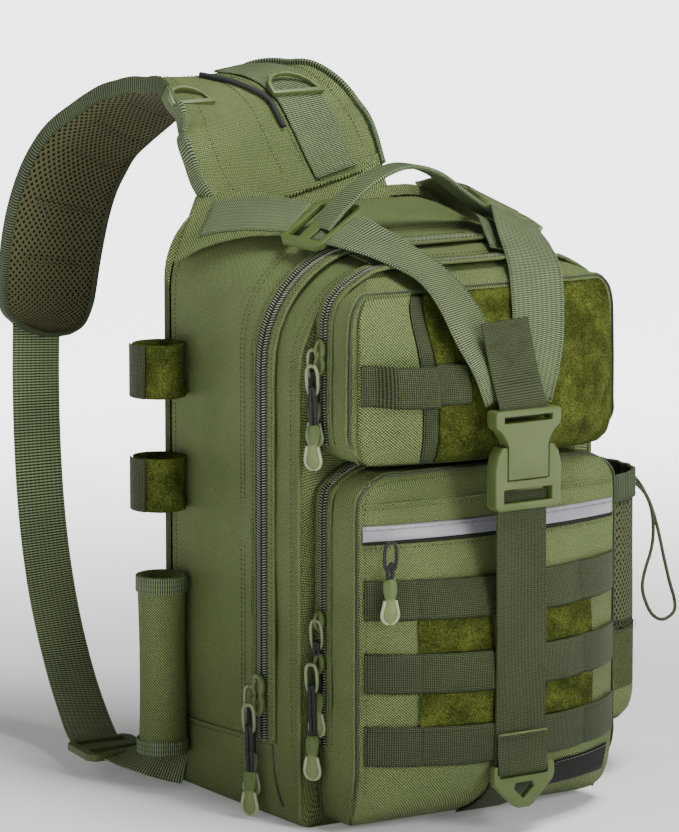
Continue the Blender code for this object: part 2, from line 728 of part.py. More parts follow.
def make_junction():
    low = BUCKLE_LOW + BUCKLE_HEIGHT * 0.91
    foot = LOCK_Y - V_REACH
    route = [Vector((FRONT_CENTRE, STRAP_Y, low)), Vector((FRONT_CENTRE, STRAP_Y, low + 0.008)),
             Vector((FRONT_CENTRE, foot - WEBBING * 2, low + 0.022)),
             Vector((FRONT_CENTRE, foot - WEBBING, JUNCTION_TOP))]
    side = [Vector((1.0, 0.0, 0.0))] * len(route)
    ribbon("junction_patch", route, side, [WIDE_WEBBING * 0.94] * len(route), WEBBING, WEB_GREEN)


def make_handle():
    ends = []
    for side in (-1, 1):
        up = lock_frame(side)[2]
        ends.append(v_point(side, 0.0, 1.0, 0.0) - up * (LOCK_THICKNESS / 2 + 0.0035))
    left, right = ends
    span = right - left
    shape = ((0.0, 0.0), (0.10, 0.34), (0.24, 0.72), (0.40, 0.97), (0.52, 1.0), (0.66, 0.84), (0.80, 0.48),
             (0.92, 0.18), (1.0, 0.0))
    points = [left + span * share + Vector((0.0, 0.0, HANDLE_RISE * rise)) for share, rise in shape]
    run = smooth_run(points, 2)
    ribbon("carry_handle", run, [Vector((0.0, 1.0, 0.0))] * len(run), [HANDLE_WIDTH] * len(run),
           WEBBING * 1.6, WEB_GREEN)


# Shoulder strap

# Columns: sweep to the side, reach to the back, height, width, turn and dip of the width in degrees
STRAP_SECTIONS = (
    (0.00, 0.000, 0.000, 1.000, 0, 0),
    (0.05, 0.065, 0.300, 1.050, 2, 0),
    (0.09, 0.120, 0.560, 1.020, 4, 0),
    (0.12, 0.200, 0.800, 0.960, 6, 1),
    (0.18, 0.310, 0.950, 0.880, 8, 2),
    (0.27, 0.440, 1.000, 0.770, 9, 3),
    (0.39, 0.565, 0.940, 0.650, 10, 4),
    (0.52, 0.690, 0.800, 0.570, 10, 5),
    (0.65, 0.800, 0.580, 0.530, 8, 5),
    (0.77, 0.880, 0.330, 0.520, 6, 5),
    (0.87, 0.935, -0.020, 0.520, 5, 5),
    (0.93, 0.970, -0.420, 0.520, 5, 4),
    (0.965, 0.990, -0.820, 0.510, 5, 3),
    (0.985, 1.000, -1.170, 0.490, 5, 2),
    (1.00, 1.000, -1.400, 0.420, 5, 1),
    (1.015, 0.998, -1.520, 0.270, 5, 0),
)
STRAP_BASE_X = -0.011

# Columns: fall, sweep to the lock, way forward to the lock
WEBBING_SECTIONS = (
    (0.00, 0.00, 0.00),
    (0.15, 0.14, 0.03),
    (0.31, 0.20, 0.06),
    (0.48, 0.18, 0.10),
    (0.63, 0.10, 0.16),
    (0.76, -0.02, 0.24),
    (0.88, 0.05, 0.42),
    (0.96, 0.45, 0.70),
    (1.00, 1.00, 1.00),
)


def strap_run():
    base = Vector((STRAP_BASE_X, BODY_BACK + CLEAR + PAD_THICKNESS / 2, BODY_HEIGHT + PAD_LIP + CLEAR * 2))
    run = []
    for sweep, reach, rise, width, turn, dip in STRAP_SECTIONS:
        point = base + Vector((-STRAP_SWEEP * sweep, STRAP_REACH * reach, STRAP_RISE * rise))
        a, b = radians(turn), radians(dip)
        side = Vector((cos(a) * cos(b), -sin(a) * cos(b), sin(b)))
        run.append((point, side, YOKE_WIDTH * width))
    return run


def make_shoulder_pad():
    stations = strap_run()
    points = [row[0] for row in stations]
    along = directions(points)
    along[0] = Vector((0.0, 0.0, 1.0))
    rings = []
    for (point, side, width), forward in zip(stations, along):
        up = side.cross(forward).normalized()
        edge = side * (width / 2)
        inner = side * (width / 2 - STRAP_THICKNESS * 0.55)
        thin, thick = up * (STRAP_THICKNESS * 0.28), up * (STRAP_THICKNESS / 2)
        rings.append([point - edge - thin, point - inner - thick, point + inner - thick,
                      point + edge - thin, point + edge + thin, point + inner + thick,
                      point - inner + thick, point - edge + thin])
    loft("shoulder_pad", rings, CLOTH_GREEN)
    stand = STRAP_THICKNESS / 2 + SEAM_CLEAR + WEBBING / 2
    outer = [(point + side.cross(forward).normalized() * stand, side)
             for (point, side, _), forward in zip(stations, along)]
    route = [point + side * TAPE_SHIFT for point, side in outer[1:6]]
    ribbon("shoulder_tape", route, [side for _, side in outer[1:6]], [WIDE_WEBBING] * 5, WEBBING, WEB_GREEN)
    return stations, along


def make_strap_webbing(stations):
    end = stations[-1][0]
    foot = Vector((LOWER_LOCK_X, LOWER_LOCK_Y, LOWER_LOCK_HEIGHT))
    across, along = Vector((1.0, 0.0, 0.0)), Vector((0.0, -1.0, -0.10)).normalized()
    heel = foot - along * (LOCK_LENGTH / 2 + WEBBING * 1.5)
    start = end + Vector((-0.006, 0.0, -CLEAR * 2))
    drop = start.z - heel.z
    route = [Vector((start.x + (heel.x - start.x) * sweep, start.y + (heel.y - start.y) * forward,
                     start.z - drop * fall)) for fall, sweep, forward in WEBBING_SECTIONS]
    run = smooth_run(route, 2)
    side = Vector((1.0, -0.10, 0.0))
    ribbon("strap_webbing", run, [side] * len(run), [WIDE_WEBBING] * len(run), WEBBING, WEB_GREEN)
    bar_lock("lower_lock", foot, across, along, PLASTIC_GREEN)
    seat = Vector((-BODY_WIDTH / 2 * BODY_SECTIONS[-1][1] - CLOTH, BODY_BACK - WIDE_WEBBING / 2,
                   SLEEVE_LOW / 2))
    near = foot + along * (LOCK_LENGTH / 2 + CLEAR * 3)
    run = [near, near.lerp(seat, 0.5) + Vector((-0.004, 0.0, 0.002)), seat]
    sides = [across, Vector((0.8, 0.3, 0.5)), Vector((0.0, 0.45, 0.9))]
    ribbon("lower_tab", run, sides, [WIDE_WEBBING, WIDE_WEBBING * 0.8, WIDE_WEBBING * 0.6], WEBBING,
           WEB_GREEN)


def d_ring(name, centre, across, down, out, width, height, look):
    # A half-round loop of plastic with a straight bar, lying against the pad
    steps = 7
    outer = [(width / 2 * cos(pi * i / steps), height * sin(pi * i / steps)) for i in range(steps + 1)]
    turn = Matrix((across, -down, out)).transposed().to_4x4()
    turn.translation = centre
    bar = RING_BAR
    inner = [(x * (1 - 2 * bar / width), bar + z * (1 - 2 * bar / height)) for x, z in outer]
    rings = [[turn @ Vector((x, z, y)) for x, z in outer] for y in (-bar / 2, bar / 2)]
    ring = loft(name, rings, look)
    rings = [[turn @ Vector((x, z, y)) for x, z in inner] for y in (-bar * 2, bar * 2)]
    cut(ring, loft(name + "_eye", rings, look))


def make_pad_hardware(stations, along):
    point, side, _ = stations[3]
    forward = along[3]
    out = side.cross(forward).normalized()
    stand = STRAP_THICKNESS / 2 + SEAM_CLEAR + WEBBING + RING_BAR / 2 + CLEAR
    centre = point + side * TAPE_SHIFT + out * stand + forward * 0.002
    d_ring("d_ring", centre, side, -forward, out, 0.042, 0.024, PLASTIC_GREEN)
    point, side, width = stations[3]
    stand = STRAP_THICKNESS / 2 + RING_BAR / 2 + CLEAR
    centre = point - side * (width * 0.38) + out * stand
    d_ring("side_d_ring", centre, side, -forward, out, 0.034, 0.020, PLASTIC_GREEN)
    route = []
    for k, share in ((5, -0.10), (4, -0.04), (3, 0.03), (2, 0.03)):
        point, side, width = stations[k]
        away = side.cross(along[k]).normalized()
        stand = STRAP_THICKNESS / 2 + SEAM_CLEAR + CORD_DIAMETER / 2
        route.append(point + side * (width * share) + away * stand)
    make_cord("elastic_keeper", smooth_run(route, 5), CORD_DIAMETER)


def make_cord(name, points, diameter):
    curve = bpy.data.curves.new(name, "CURVE")
    curve.dimensions = "3D"
    curve.bevel_depth = diameter / 2
    curve.bevel_resolution = 2
    curve.use_fill_caps = True
    line = curve.splines.new("POLY")
    line.points.add(len(points) - 1)
    for spot, point in zip(line.points, points):
        spot.co = (*point, 1.0)
    curve.materials.append(CORD_GREEN)
    made = bpy.data.objects.new(name, curve)
    bpy.context.scene.collection.objects.link(made)
    return made


# Left side: rod sleeve and keepers

def tube(name, centre_x, centre_y, low, high, outer, inner, look, steps=16):
    angles = [2 * pi * i / steps for i in range(steps)]
    rings = []
    for radius, z in ((outer, low), (outer, high), (inner, high), (inner, low)):
        rings.append([Vector((centre_x + radius * cos(a), centre_y + radius * sin(a), z)) for a in angles])
    return loft(name, rings, look, looped=True)


def make_left_side():
    wall = -body_arch(SLEEVE_Y, SLEEVE_LOW)[-1][0] - CLEAR
    tube("rod_sleeve", wall - SLEEVE_RADIUS, SLEEVE_Y, SLEEVE_LOW, SLEEVE_LOW + SLEEVE_HEIGHT,
         SLEEVE_RADIUS, SLEEVE_RADIUS - CLOTH, CLOTH_GREEN)
    for name, low in (("rod_loop_low", LOOP_LOW), ("rod_loop_high", LOOP_HIGH)):
        tube(name, wall - LOOP_RADIUS, SLEEVE_Y, low, low + LOOP_HEIGHT, LOOP_RADIUS,
             LOOP_RADIUS - WEBBING * 1.2, WEB_GREEN)


# Right side: mesh pocket, hem and draw cord

SIDE_STEPS = 12
SIDE_TURN = 2.4


def side_ring(z, swell, grow, behind):
    # Half of a rounded oblong that stands on the side wall
    wall = BODY_WIDTH / 2 + SEAM_CLEAR
    points = []
    for i in range(SIDE_STEPS + 1):
        a = pi * i / SIDE_STEPS - pi / 2
        reach = abs(cos(a)) ** (2 / SIDE_TURN)
        run = abs(sin(a)) ** (2 / SIDE_TURN) * (1 if a > 0 else -1)
        points.append((wall + (SIDE_BULGE * swell + grow) * reach,
                       SIDE_CENTRE_Y + (SIDE_LENGTH / 2 + grow) * run))
    points[0] = (wall - behind, points[0][1])
    points[-1] = (wall - behind, points[-1][1])
    return [Vector((x, y, z)) for x, y in points]


# Columns: height, swell
SIDE_SECTIONS = (
    (0.00, 0.80),
    (0.03, 0.95),
    (0.10, 1.00),
    (0.40, 1.00),
    (0.88, 0.97),
)


def make_side_pocket():
    levels = [(SIDE_LOW + SIDE_HEIGHT * height, swell) for height, swell in SIDE_SECTIONS]
    pocket = loft("side_pocket", [side_ring(z, swell, 0.0, 0.0) for z, swell in levels], MESH_GREEN)
    top = levels[-1][0]
    inside = [(SIDE_LOW + CLOTH, levels[1][1]), *levels[2:-1], (top + 0.02, levels[-1][1])]
    cut(pocket, loft("side_hollow", [side_ring(z, swell, -CLOTH, 0.004) for z, swell in inside],
                     MESH_GREEN))
    low, high = top + CLEAR, SIDE_LOW + SIDE_HEIGHT
    swell = levels[-1][1]
    hem = loft("side_hem", [side_ring(z, swell, CLOTH * 0.3, 0.0) for z in (low, high)], WEB_GREEN)
    cut(hem, loft("hem_hollow", [side_ring(z, swell, -CLOTH, 0.004) for z in (low - 0.01, high + 0.01)],
                  WEB_GREEN))


# The draw cord's own route, chosen by hand: out of the hem, down, round and back to the hem
DRAW_CORD = (
    (0.1828, -0.0360, 0.2150),
    (0.1885, -0.0362, 0.2085),
    (0.1975, -0.0366, 0.1930),
    (0.2040, -0.0370, 0.1740),
    (0.2092, -0.0372, 0.1540),
    (0.2145, -0.0374, 0.1350),
    (0.2198, -0.0374, 0.1190),
    (0.2185, -0.0372, 0.1105),
    (0.2090, -0.0370, 0.1065),
    (0.1995, -0.0368, 0.1115),
    (0.1928, -0.0366, 0.1235),
    (0.1905, -0.0366, 0.1340),
    (0.1930, -0.0368, 0.1460),
    (0.1978, -0.0372, 0.1600),
    (0.1990, -0.0380, 0.1740),
    (0.1962, -0.0392, 0.1900),
    (0.1895, -0.0402, 0.2030),
    (0.1804, -0.0406, 0.2115),
)


def make_draw_cord():
    make_cord("draw_cord", smooth_run([Vector(point) for point in DRAW_CORD], 3), CORD_DIAMETER)


make_main_shell()
make_back_panel()
make_main_zip()
make_pockets()
make_front_strips()
make_upper_front()
make_pulls()
make_centre_strap()
make_buckle()
make_ring()
for lock_label, lock_side in (("left", -1), ("right", 1)):
    make_v_side(lock_label, lock_side)
make_junction()
make_handle()
pad_stations, pad_along = make_shoulder_pad()
make_strap_webbing(pad_stations)
make_pad_hardware(pad_stations, pad_along)
make_left_side()
make_side_pocket()
make_draw_cord()
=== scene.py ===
from math import atan2, cos, pi, radians, sin

import bmesh
import bpy
from mathutils import Matrix, Vector, noise


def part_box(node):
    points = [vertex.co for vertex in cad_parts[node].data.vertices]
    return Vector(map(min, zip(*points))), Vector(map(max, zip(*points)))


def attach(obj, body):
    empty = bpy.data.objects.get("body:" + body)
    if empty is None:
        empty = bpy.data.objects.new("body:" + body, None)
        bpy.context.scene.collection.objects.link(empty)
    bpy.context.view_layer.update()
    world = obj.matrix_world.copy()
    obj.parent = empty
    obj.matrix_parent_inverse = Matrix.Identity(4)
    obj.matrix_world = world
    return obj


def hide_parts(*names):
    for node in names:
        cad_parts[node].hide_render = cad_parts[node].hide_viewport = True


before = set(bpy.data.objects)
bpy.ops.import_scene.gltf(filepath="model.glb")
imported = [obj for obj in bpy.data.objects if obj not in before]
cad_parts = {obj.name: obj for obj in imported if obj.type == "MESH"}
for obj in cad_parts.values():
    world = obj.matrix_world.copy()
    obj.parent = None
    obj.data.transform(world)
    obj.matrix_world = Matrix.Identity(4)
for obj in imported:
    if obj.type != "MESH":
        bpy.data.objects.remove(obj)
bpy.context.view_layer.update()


def show(name, data):
    made = bpy.data.objects.new(name, data)
    bpy.context.scene.collection.objects.link(made)
    return made


# Camera, floor and studio light

view = {"place": (-1.7916, -2.6824, 0.7995), "tilt": 80.7, "turn": -33.0, "lens": 199.04}
cameraData = bpy.data.cameras.new("camera")
cameraData.lens = view["lens"]
cameraData.clip_end = 50.0
camera = show("camera", cameraData)
camera.location = view["place"]
camera.rotation_euler = (radians(view["tilt"]), 0.0, radians(view["turn"]))
bpy.context.scene.camera = camera

aim = Vector((0.0, 0.0, 0.22))
# place, size, power
studio = {
    "key": ((-2.0, -0.9, 0.8), 1.0, 10.0),
    "fill": ((0.5, -2.5, 1.15), 0.8, 52.0),
    "top": ((0.3, -0.60, 2.2), 0.8, 62.0),
    "rim": ((-1.2, 1.9, 1.8), 1.2, 9.0),
}
for lampName, (place, size, power) in studio.items():
    lamp = bpy.data.lights.new(lampName, "AREA")
    lamp.size = size
    lamp.energy = power
    holder = show(lampName, lamp)
    holder.location = place
    holder.rotation_euler = (aim - Vector(place)).to_track_quat("-Z", "Y").to_euler()

world = bpy.data.worlds.new("studio")
world.use_nodes = True
sky = world.node_tree.nodes["Background"]
sky.inputs["Color"].default_value = (1.0, 1.0, 1.0, 1.0)
sky.inputs["Strength"].default_value = 0.12
bpy.context.scene.world = world


# Materials

def plainMaterial(name, colour, roughness, metallic=0.0, shine=0.5):
    made = bpy.data.materials.new(name)
    made.use_nodes = True
    shader = made.node_tree.nodes["Principled BSDF"]
    shader.inputs["Base Color"].default_value = (*colour, 1.0)
    shader.inputs["Roughness"].default_value = roughness
    shader.inputs["Metallic"].default_value = metallic
    shader.inputs["Specular IOR Level"].default_value = shine
    made.diffuse_color = (*colour, 1.0)
    return made


class Nodes:
    # A short way to wire a material's pattern
    def __init__(self, made):
        self.tree = made.node_tree
        self.shader = self.tree.nodes["Principled BSDF"]
        self.coordinates = self.tree.nodes.new("ShaderNodeTexCoord")

    def add(self, kind, **settings):
        node = self.tree.nodes.new(kind)
        for key, value in settings.items():
            setattr(node, key, value)
        return node

    def join(self, output, target):
        self.tree.links.new(output, target)

    def turned(self, source, angle=0.0):
        node = self.add("ShaderNodeMapping")
        node.inputs["Rotation"].default_value = (0.0, 0.0, angle)
        self.join(self.coordinates.outputs[source], node.inputs["Vector"])
        return node.outputs["Vector"]

    def bands(self, vector, direction, pitch, wobble=0.0):
        node = self.add("ShaderNodeTexWave", wave_type="BANDS", bands_direction=direction, wave_profile="SIN")
        node.inputs["Scale"].default_value = 2 * pi / (20.0 * pitch)
        node.inputs["Distortion"].default_value = wobble
        node.inputs["Detail"].default_value = 1.0
        node.inputs["Detail Scale"].default_value = 1.4
        self.join(vector, node.inputs["Vector"])
        return node.outputs["Fac"]

    def noise(self, vector, size, detail=3.0, rough=0.55):
        node = self.add("ShaderNodeTexNoise")
        node.inputs["Scale"].default_value = 1.0 / size
        node.inputs["Detail"].default_value = detail
        node.inputs["Roughness"].default_value = rough
        self.join(vector, node.inputs["Vector"])
        return node.outputs["Fac"]

    def sums(self, operation, first, second):
        node = self.add("ShaderNodeMath", operation=operation)
        for socket, value in zip(node.inputs, (first, second)):
            if isinstance(value, (int, float)):
                socket.default_value = value
            else:
                self.join(value, socket)
        return node.outputs[0]

    def ramp(self, factor, stops):
        node = self.add("ShaderNodeValToRGB")
        ramp = node.color_ramp
        for i, (place, colour) in enumerate(stops):
            stop = ramp.elements[i] if i < 2 else ramp.elements.new(place)
            stop.position = place
            stop.color = (*colour, 1.0)
        self.join(factor, node.inputs["Fac"])
        return node.outputs["Color"]

    def multiplied(self, first, second):
        node = self.add("ShaderNodeMix", data_type="RGBA", blend_type="MULTIPLY")
        node.inputs[0].default_value = 1.0
        self.join(first, node.inputs[6])
        self.join(second, node.inputs[7])
        return node.outputs[2]

    def finish(self, colour, height, depth, strength=1.0):
        self.join(colour, self.shader.inputs["Base Color"])
        bump = self.add("ShaderNodeBump")
        bump.inputs["Strength"].default_value = strength
        bump.inputs["Distance"].default_value = depth
        self.join(height, bump.inputs["Height"])
        self.join(bump.outputs["Normal"], self.shader.inputs["Normal"])


def shades(colour, stops):
    # Ramp stops from shares of one colour
    return [(place, tuple(channel * share for channel in colour)) for place, share in stops]


def clothMaterial(name, colour, roughness, pitch, depth):
    made = plainMaterial(name, colour, roughness, shine=0.14)
    nodes = Nodes(made)
    across = nodes.bands(nodes.turned("UV", radians(45)), "X", pitch, 0.6)
    along = nodes.bands(nodes.turned("UV", radians(45)), "Y", pitch * 1.15, 0.6)
    weave = nodes.sums("MULTIPLY", across, along)
    grain = nodes.noise(nodes.turned("UV"), 0.0011, 2.0, 0.7)
    cloud = nodes.noise(nodes.turned("Object"), 0.075, 4.0, 0.6)
    height = nodes.sums("ADD", weave, nodes.sums("MULTIPLY", grain, 0.9))
    # The weave's height also sets its colour: painted shade in the pits between threads, and a painted highlight,
    # near three times the cloth's colour, on the thread tops
    weaveWithPaintedLight = nodes.ramp(height, shades(colour, ((0.36, 0.16), (0.66, 0.94), (1.02, 2.90))))
    shade = nodes.ramp(cloud, [(0.30, (0.86, 0.87, 0.84)), (0.72, (1.12, 1.11, 1.10))])
    nodes.finish(nodes.multiplied(weaveWithPaintedLight, shade), height, depth, 0.8)
    return made


def webbingMaterial(name, colour, roughness, rib, line, ribShare, depth):
    made = plainMaterial(name, colour, roughness, shine=0.16)
    nodes = Nodes(made)
    ribs = nodes.bands(nodes.turned("UV"), "Y", rib, 0.05)
    lines = nodes.bands(nodes.turned("UV"), "X", line, 0.05)
    grain = nodes.noise(nodes.turned("UV"), 0.0010, 2.0, 0.7)
    height = nodes.sums("ADD", nodes.sums("MULTIPLY", ribs, ribShare), nodes.sums("MULTIPLY", lines, 1.0 - ribShare))
    height = nodes.sums("ADD", height, nodes.sums("MULTIPLY", grain, 0.45))
    # As in the cloth, painted shade in the gaps between ribs and a painted highlight on the rib tops
    weaveWithPaintedLight = nodes.ramp(height, shades(colour, ((0.38, 0.16), (0.72, 1.0), (1.12, 3.10))))
    cloud = nodes.noise(nodes.turned("Object"), 0.045, 3.0, 0.6)
    shade = nodes.ramp(cloud, [(0.30, (0.86, 0.87, 0.86)), (0.72, (1.12, 1.12, 1.10))])
    nodes.finish(nodes.multiplied(weaveWithPaintedLight, shade), height, depth, 0.9)
    return made


def pileMaterial(name, colour, depth):
    made = plainMaterial(name, colour, 0.95, shine=0.04)
    nodes = Nodes(made)
    tuft = nodes.noise(nodes.turned("Object"), 0.0013, 4.0, 0.85)
    patch = nodes.noise(nodes.turned("Object"), 0.016, 3.0, 0.6)
    height = nodes.sums("ADD", tuft, nodes.sums("MULTIPLY", patch, 0.45))
    # The tuft height sets bump and colour alike: random patches of tone, with painted shade in the hollows and a
    # painted highlight on the tuft tops
    look = nodes.ramp(height, shades(colour, ((0.50, 0.22), (0.72, 0.9), (0.95, 3.0))))
    nodes.finish(look, height, depth)
    return made


def spacerMaterial(name, colour, pitch, depth):
    # Open knit with diamond holes; the holes are painted near black, a painted shade for the space seen through them,
    # and the raised net is painted lighter, a painted highlight
    made = plainMaterial(name, colour, 0.9, shine=0.08)
    nodes = Nodes(made)
    one, two = (nodes.bands(nodes.turned("UV", radians(turn)), "X", pitch) for turn in (38, -38))
    net = nodes.sums("MAXIMUM", one, two)
    grain = nodes.noise(nodes.turned("UV"), 0.0012, 2.0, 0.7)
    height = nodes.sums("ADD", net, nodes.sums("MULTIPLY", grain, 0.25))
    look = nodes.ramp(height, shades(colour, ((0.36, 0.10), (0.62, 0.85), (1.15, 1.7))))
    nodes.finish(look, height, depth)
    return made


def mouldedMaterial(name, colour, roughness, depth, shine=0.5):
    made = plainMaterial(name, colour, roughness, shine=shine)
    nodes = Nodes(made)
    grain = nodes.noise(nodes.turned("Object"), 0.0016, 3.0, 0.6)
    cloud = nodes.noise(nodes.turned("Object"), 0.020, 2.0, 0.5)
    nodes.finish(nodes.ramp(cloud, shades(colour, ((0.3, 0.93), (0.7, 1.07)))), grain, depth, 0.5)
    return made


looks = {
    # colour, roughness, pitch of the weave, depth
    "cloth": clothMaterial("corduraOlive", (0.085, 0.112, 0.041), 0.70, 0.00135, 0.0007),
    "lip": clothMaterial("zipLipOlive", (0.076, 0.098, 0.037), 0.76, 0.0011, 0.0004),
    # colour, roughness, rib, line, share of the ribs, depth
    "binding": webbingMaterial("bindingDarkAndShaded", (0.028, 0.036, 0.018), 0.80, 0.0016, 0.0012, 0.7, 0.0003),
    "ribbed": webbingMaterial("webbingRibbed", (0.054, 0.070, 0.034), 0.60, 0.0016, 0.0034, 0.8, 0.0006),
    "sling": webbingMaterial("slingWebbing", (0.082, 0.104, 0.052), 0.60, 0.0018, 0.0034, 0.8, 0.0005),
    "gridded": webbingMaterial("webbingGridded", (0.023, 0.029, 0.012), 0.60, 0.0013, 0.0012, 0.5, 0.0006),
    "tape": webbingMaterial("zipTape", (0.007, 0.009, 0.005), 0.85, 0.0012, 0.0012, 0.5, 0.0002),
    "cordBlack": webbingMaterial("pullCord", (0.016, 0.017, 0.016), 0.70, 0.0012, 0.0012, 0.5, 0.0002),
    "cordGreen": webbingMaterial("elasticCord", (0.040, 0.050, 0.026), 0.70, 0.0012, 0.0010, 0.5, 0.0002),
    "label": webbingMaterial("bareLabel", (0.0075, 0.0065, 0.0065), 0.80, 0.0008, 0.0008, 0.5, 0.0001),
    "pile": pileMaterial("loopPile", (0.050, 0.062, 0.011), 0.0018),
    # colour, pitch of the net, depth
    "spacer": spacerMaterial("spacerMesh", (0.048, 0.048, 0.023), 0.0048, 0.0009),
    "sideMesh": spacerMaterial("pocketMesh", (0.046, 0.050, 0.025), 0.0036, 0.0007),
    # colour, roughness, depth of the grain
    "plastic": mouldedMaterial("mouldedOlive", (0.066, 0.092, 0.026), 0.36, 0.00005, shine=0.26),
    "tab": mouldedMaterial("rubberTab", (0.112, 0.146, 0.050), 0.40, 0.00008, shine=0.35),
    "rim": mouldedMaterial("rubberRim", (0.235, 0.290, 0.150), 0.30, 0.00004),
    "coil": mouldedMaterial("zipCoil", (0.290, 0.320, 0.230), 0.32, 0.00002),
    "stripe": mouldedMaterial("reflectiveTape", (0.190, 0.198, 0.214), 0.40, 0.00008),
    "thread": plainMaterial("seamThread", (0.070, 0.090, 0.040), 0.7),
    "thread light": plainMaterial("paleThread", (0.150, 0.180, 0.105), 0.7),
    "thread dark": plainMaterial("darkThread", (0.026, 0.034, 0.015), 0.8),
    "wire": plainMaterial("pullWire", (0.130, 0.160, 0.080), 0.35, metallic=0.3),
}
slotLooks = {
    "cloth_green": ("cloth", "lip", "thread", "thread light", "thread dark"),
    "webbing_green": ("binding", "ribbed", "sling", "gridded"), "loop_green": ("pile",),
    "mesh_green": ("spacer", "sideMesh"), "plastic_green": ("plastic",), "zip_green": ("tape", "coil"),
    "cord_green": ("cordBlack", "cordGreen"),
    "stripe_grey": ("stripe",), "label_dark": ("label",), "tab_green": ("wire", "rim"),
}
usualSlot = {look: slot for slot, names in slotLooks.items() for look in names}
# The far floor glows like a lit backdrop
floorLook = plainMaterial("paleFloor", (0.72, 0.72, 0.72), 0.9)
floorNodes = Nodes(floorLook)
distance = floorNodes.add("ShaderNodeVectorMath", operation="LENGTH")
floorNodes.join(floorNodes.coordinates.outputs["Object"], distance.inputs[0])
glow = floorNodes.add("ShaderNodeMapRange", interpolation_type="SMOOTHSTEP")
for socket, value in (("From Min", 0.32), ("From Max", 1.9), ("To Min", 0.12), ("To Max", 3.6)):
    glow.inputs[socket].default_value = value
floorNodes.join(distance.outputs["Value"], glow.inputs["Value"])
floorNodes.join(glow.outputs["Result"], floorNodes.shader.inputs["Emission Strength"])
floorNodes.shader.inputs["Emission Color"].default_value = (1.0, 1.0, 1.0, 1.0)
print("materials made")


# Building blocks

upward, rightward, backward, forwards = Vector((0, 0, 1)), Vector((1, 0, 0)), Vector((0, 1, 0)), Vector((0, -1, 0))


def spaced(start, span, count):
    return [start + span * i / count for i in range(count + 1)]


def eased(table, share):
    # Smooth values between the rows of a table, by its first column
    last = len(table) - 1
    share = min(max(share, table[0][0]), table[-1][0])
    k = next((i for i in range(last) if share <= table[i + 1][0]), last - 1)
    span = table[k + 1][0] - table[k][0]
    t = (share - table[k][0]) / span
    found = []
    for c in range(1, len(table[0])):
        a, b = table[k][c], table[k + 1][c]
        slopes = []
        for i in (k, k + 1):
            if i in (0, last):
                slopes.append((b - a) / span)
                continue
            before = (table[i][c] - table[i - 1][c]) / (table[i][0] - table[i - 1][0])
            after = (table[i + 1][c] - table[i][c]) / (table[i + 1][0] - table[i][0])
            slopes.append(0.0 if before * after <= 0 else 2 * before * after / (before + after))
        found.append(a * (2 * t**3 - 3 * t**2 + 1) + b * (3 * t**2 - 2 * t**3)
                     + slopes[0] * span * (t**3 - 2 * t**2 + t) + slopes[1] * span * (t**3 - t**2))
    return found


def smoothRun(points, steps):
    points = [Vector(point) for point in points]
    ends = [points[0] * 2 - points[1], *points, points[-1] * 2 - points[-2]]
    run = []
    for before, start, stop, after in zip(ends, ends[1:], ends[2:], ends[3:]):
        for i in range(steps):
            t = i / steps
            a = (stop - before) * 0.5
            b = before - start * 2.5 + stop * 2 - after * 0.5
            c = (after - before) * 0.5 + (start - stop) * 1.5
            run.append(start + a * t + b * t * t + c * t**3)
    run.append(points[-1].copy())
    return run


def evenRun(points, pitch):
    # The same line with its points a pitch apart
    lengths = travelled(points)
    count = max(2, round(lengths[-1] / pitch))
    run, k = [], 0
    for i in range(count + 1):
        place = lengths[-1] * i / count
        while k < len(points) - 2 and lengths[k + 1] < place:
            k += 1
        span = lengths[k + 1] - lengths[k]
        run.append(points[k].lerp(points[k + 1], (place - lengths[k]) / span if span else 0.0))
    return run


def travelled(points):
    # How far along the line each of its points lies
    lengths = [0.0]
    for a, b in zip(points, points[1:]):
        lengths.append(lengths[-1] + (b - a).length)
    return lengths


def directions(points):
    last = len(points) - 1
    return [(points[min(i + 1, last)] - points[max(i - 1, 0)]).normalized() for i in range(last + 1)]


def squareTo(side, forward):
    # The side, square to the run, and the way out of both
    side = (side - forward * side.dot(forward)).normalized()
    return side, side.cross(forward).normalized()


def blended(values, place):
    k = min(int(place), len(values) - 2)
    return Vector(values[k]).lerp(Vector(values[k + 1]), place - k).normalized()


def placement(axes, place):
    turn = Matrix(axes).transposed().to_4x4()
    turn.translation = place
    return turn


def bead(work, axes, place, halves):
    shape = placement(axes, place) @ Matrix.Diagonal((*halves, 1.0))
    bmesh.ops.create_icosphere(work, subdivisions=1, radius=1.0, matrix=shape)


def soften(work, edges, radius):
    bmesh.ops.bevel(work, geom=edges, offset=radius, offset_type="OFFSET", segments=3, profile=0.5, affect="EDGES",
                    clamp_overlap=True, material=-1)


def keep(name, work, look, replaces=(), slot=None):
    mesh = bpy.data.meshes.new(name)
    work.to_mesh(mesh)
    work.free()
    mesh.materials.append(looks[look])
    mesh.shade_smooth()
    piece = show(name, mesh)
    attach(piece, "root")
    slot or usualSlot[look]
    if replaces:
        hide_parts(*replaces)
    return piece


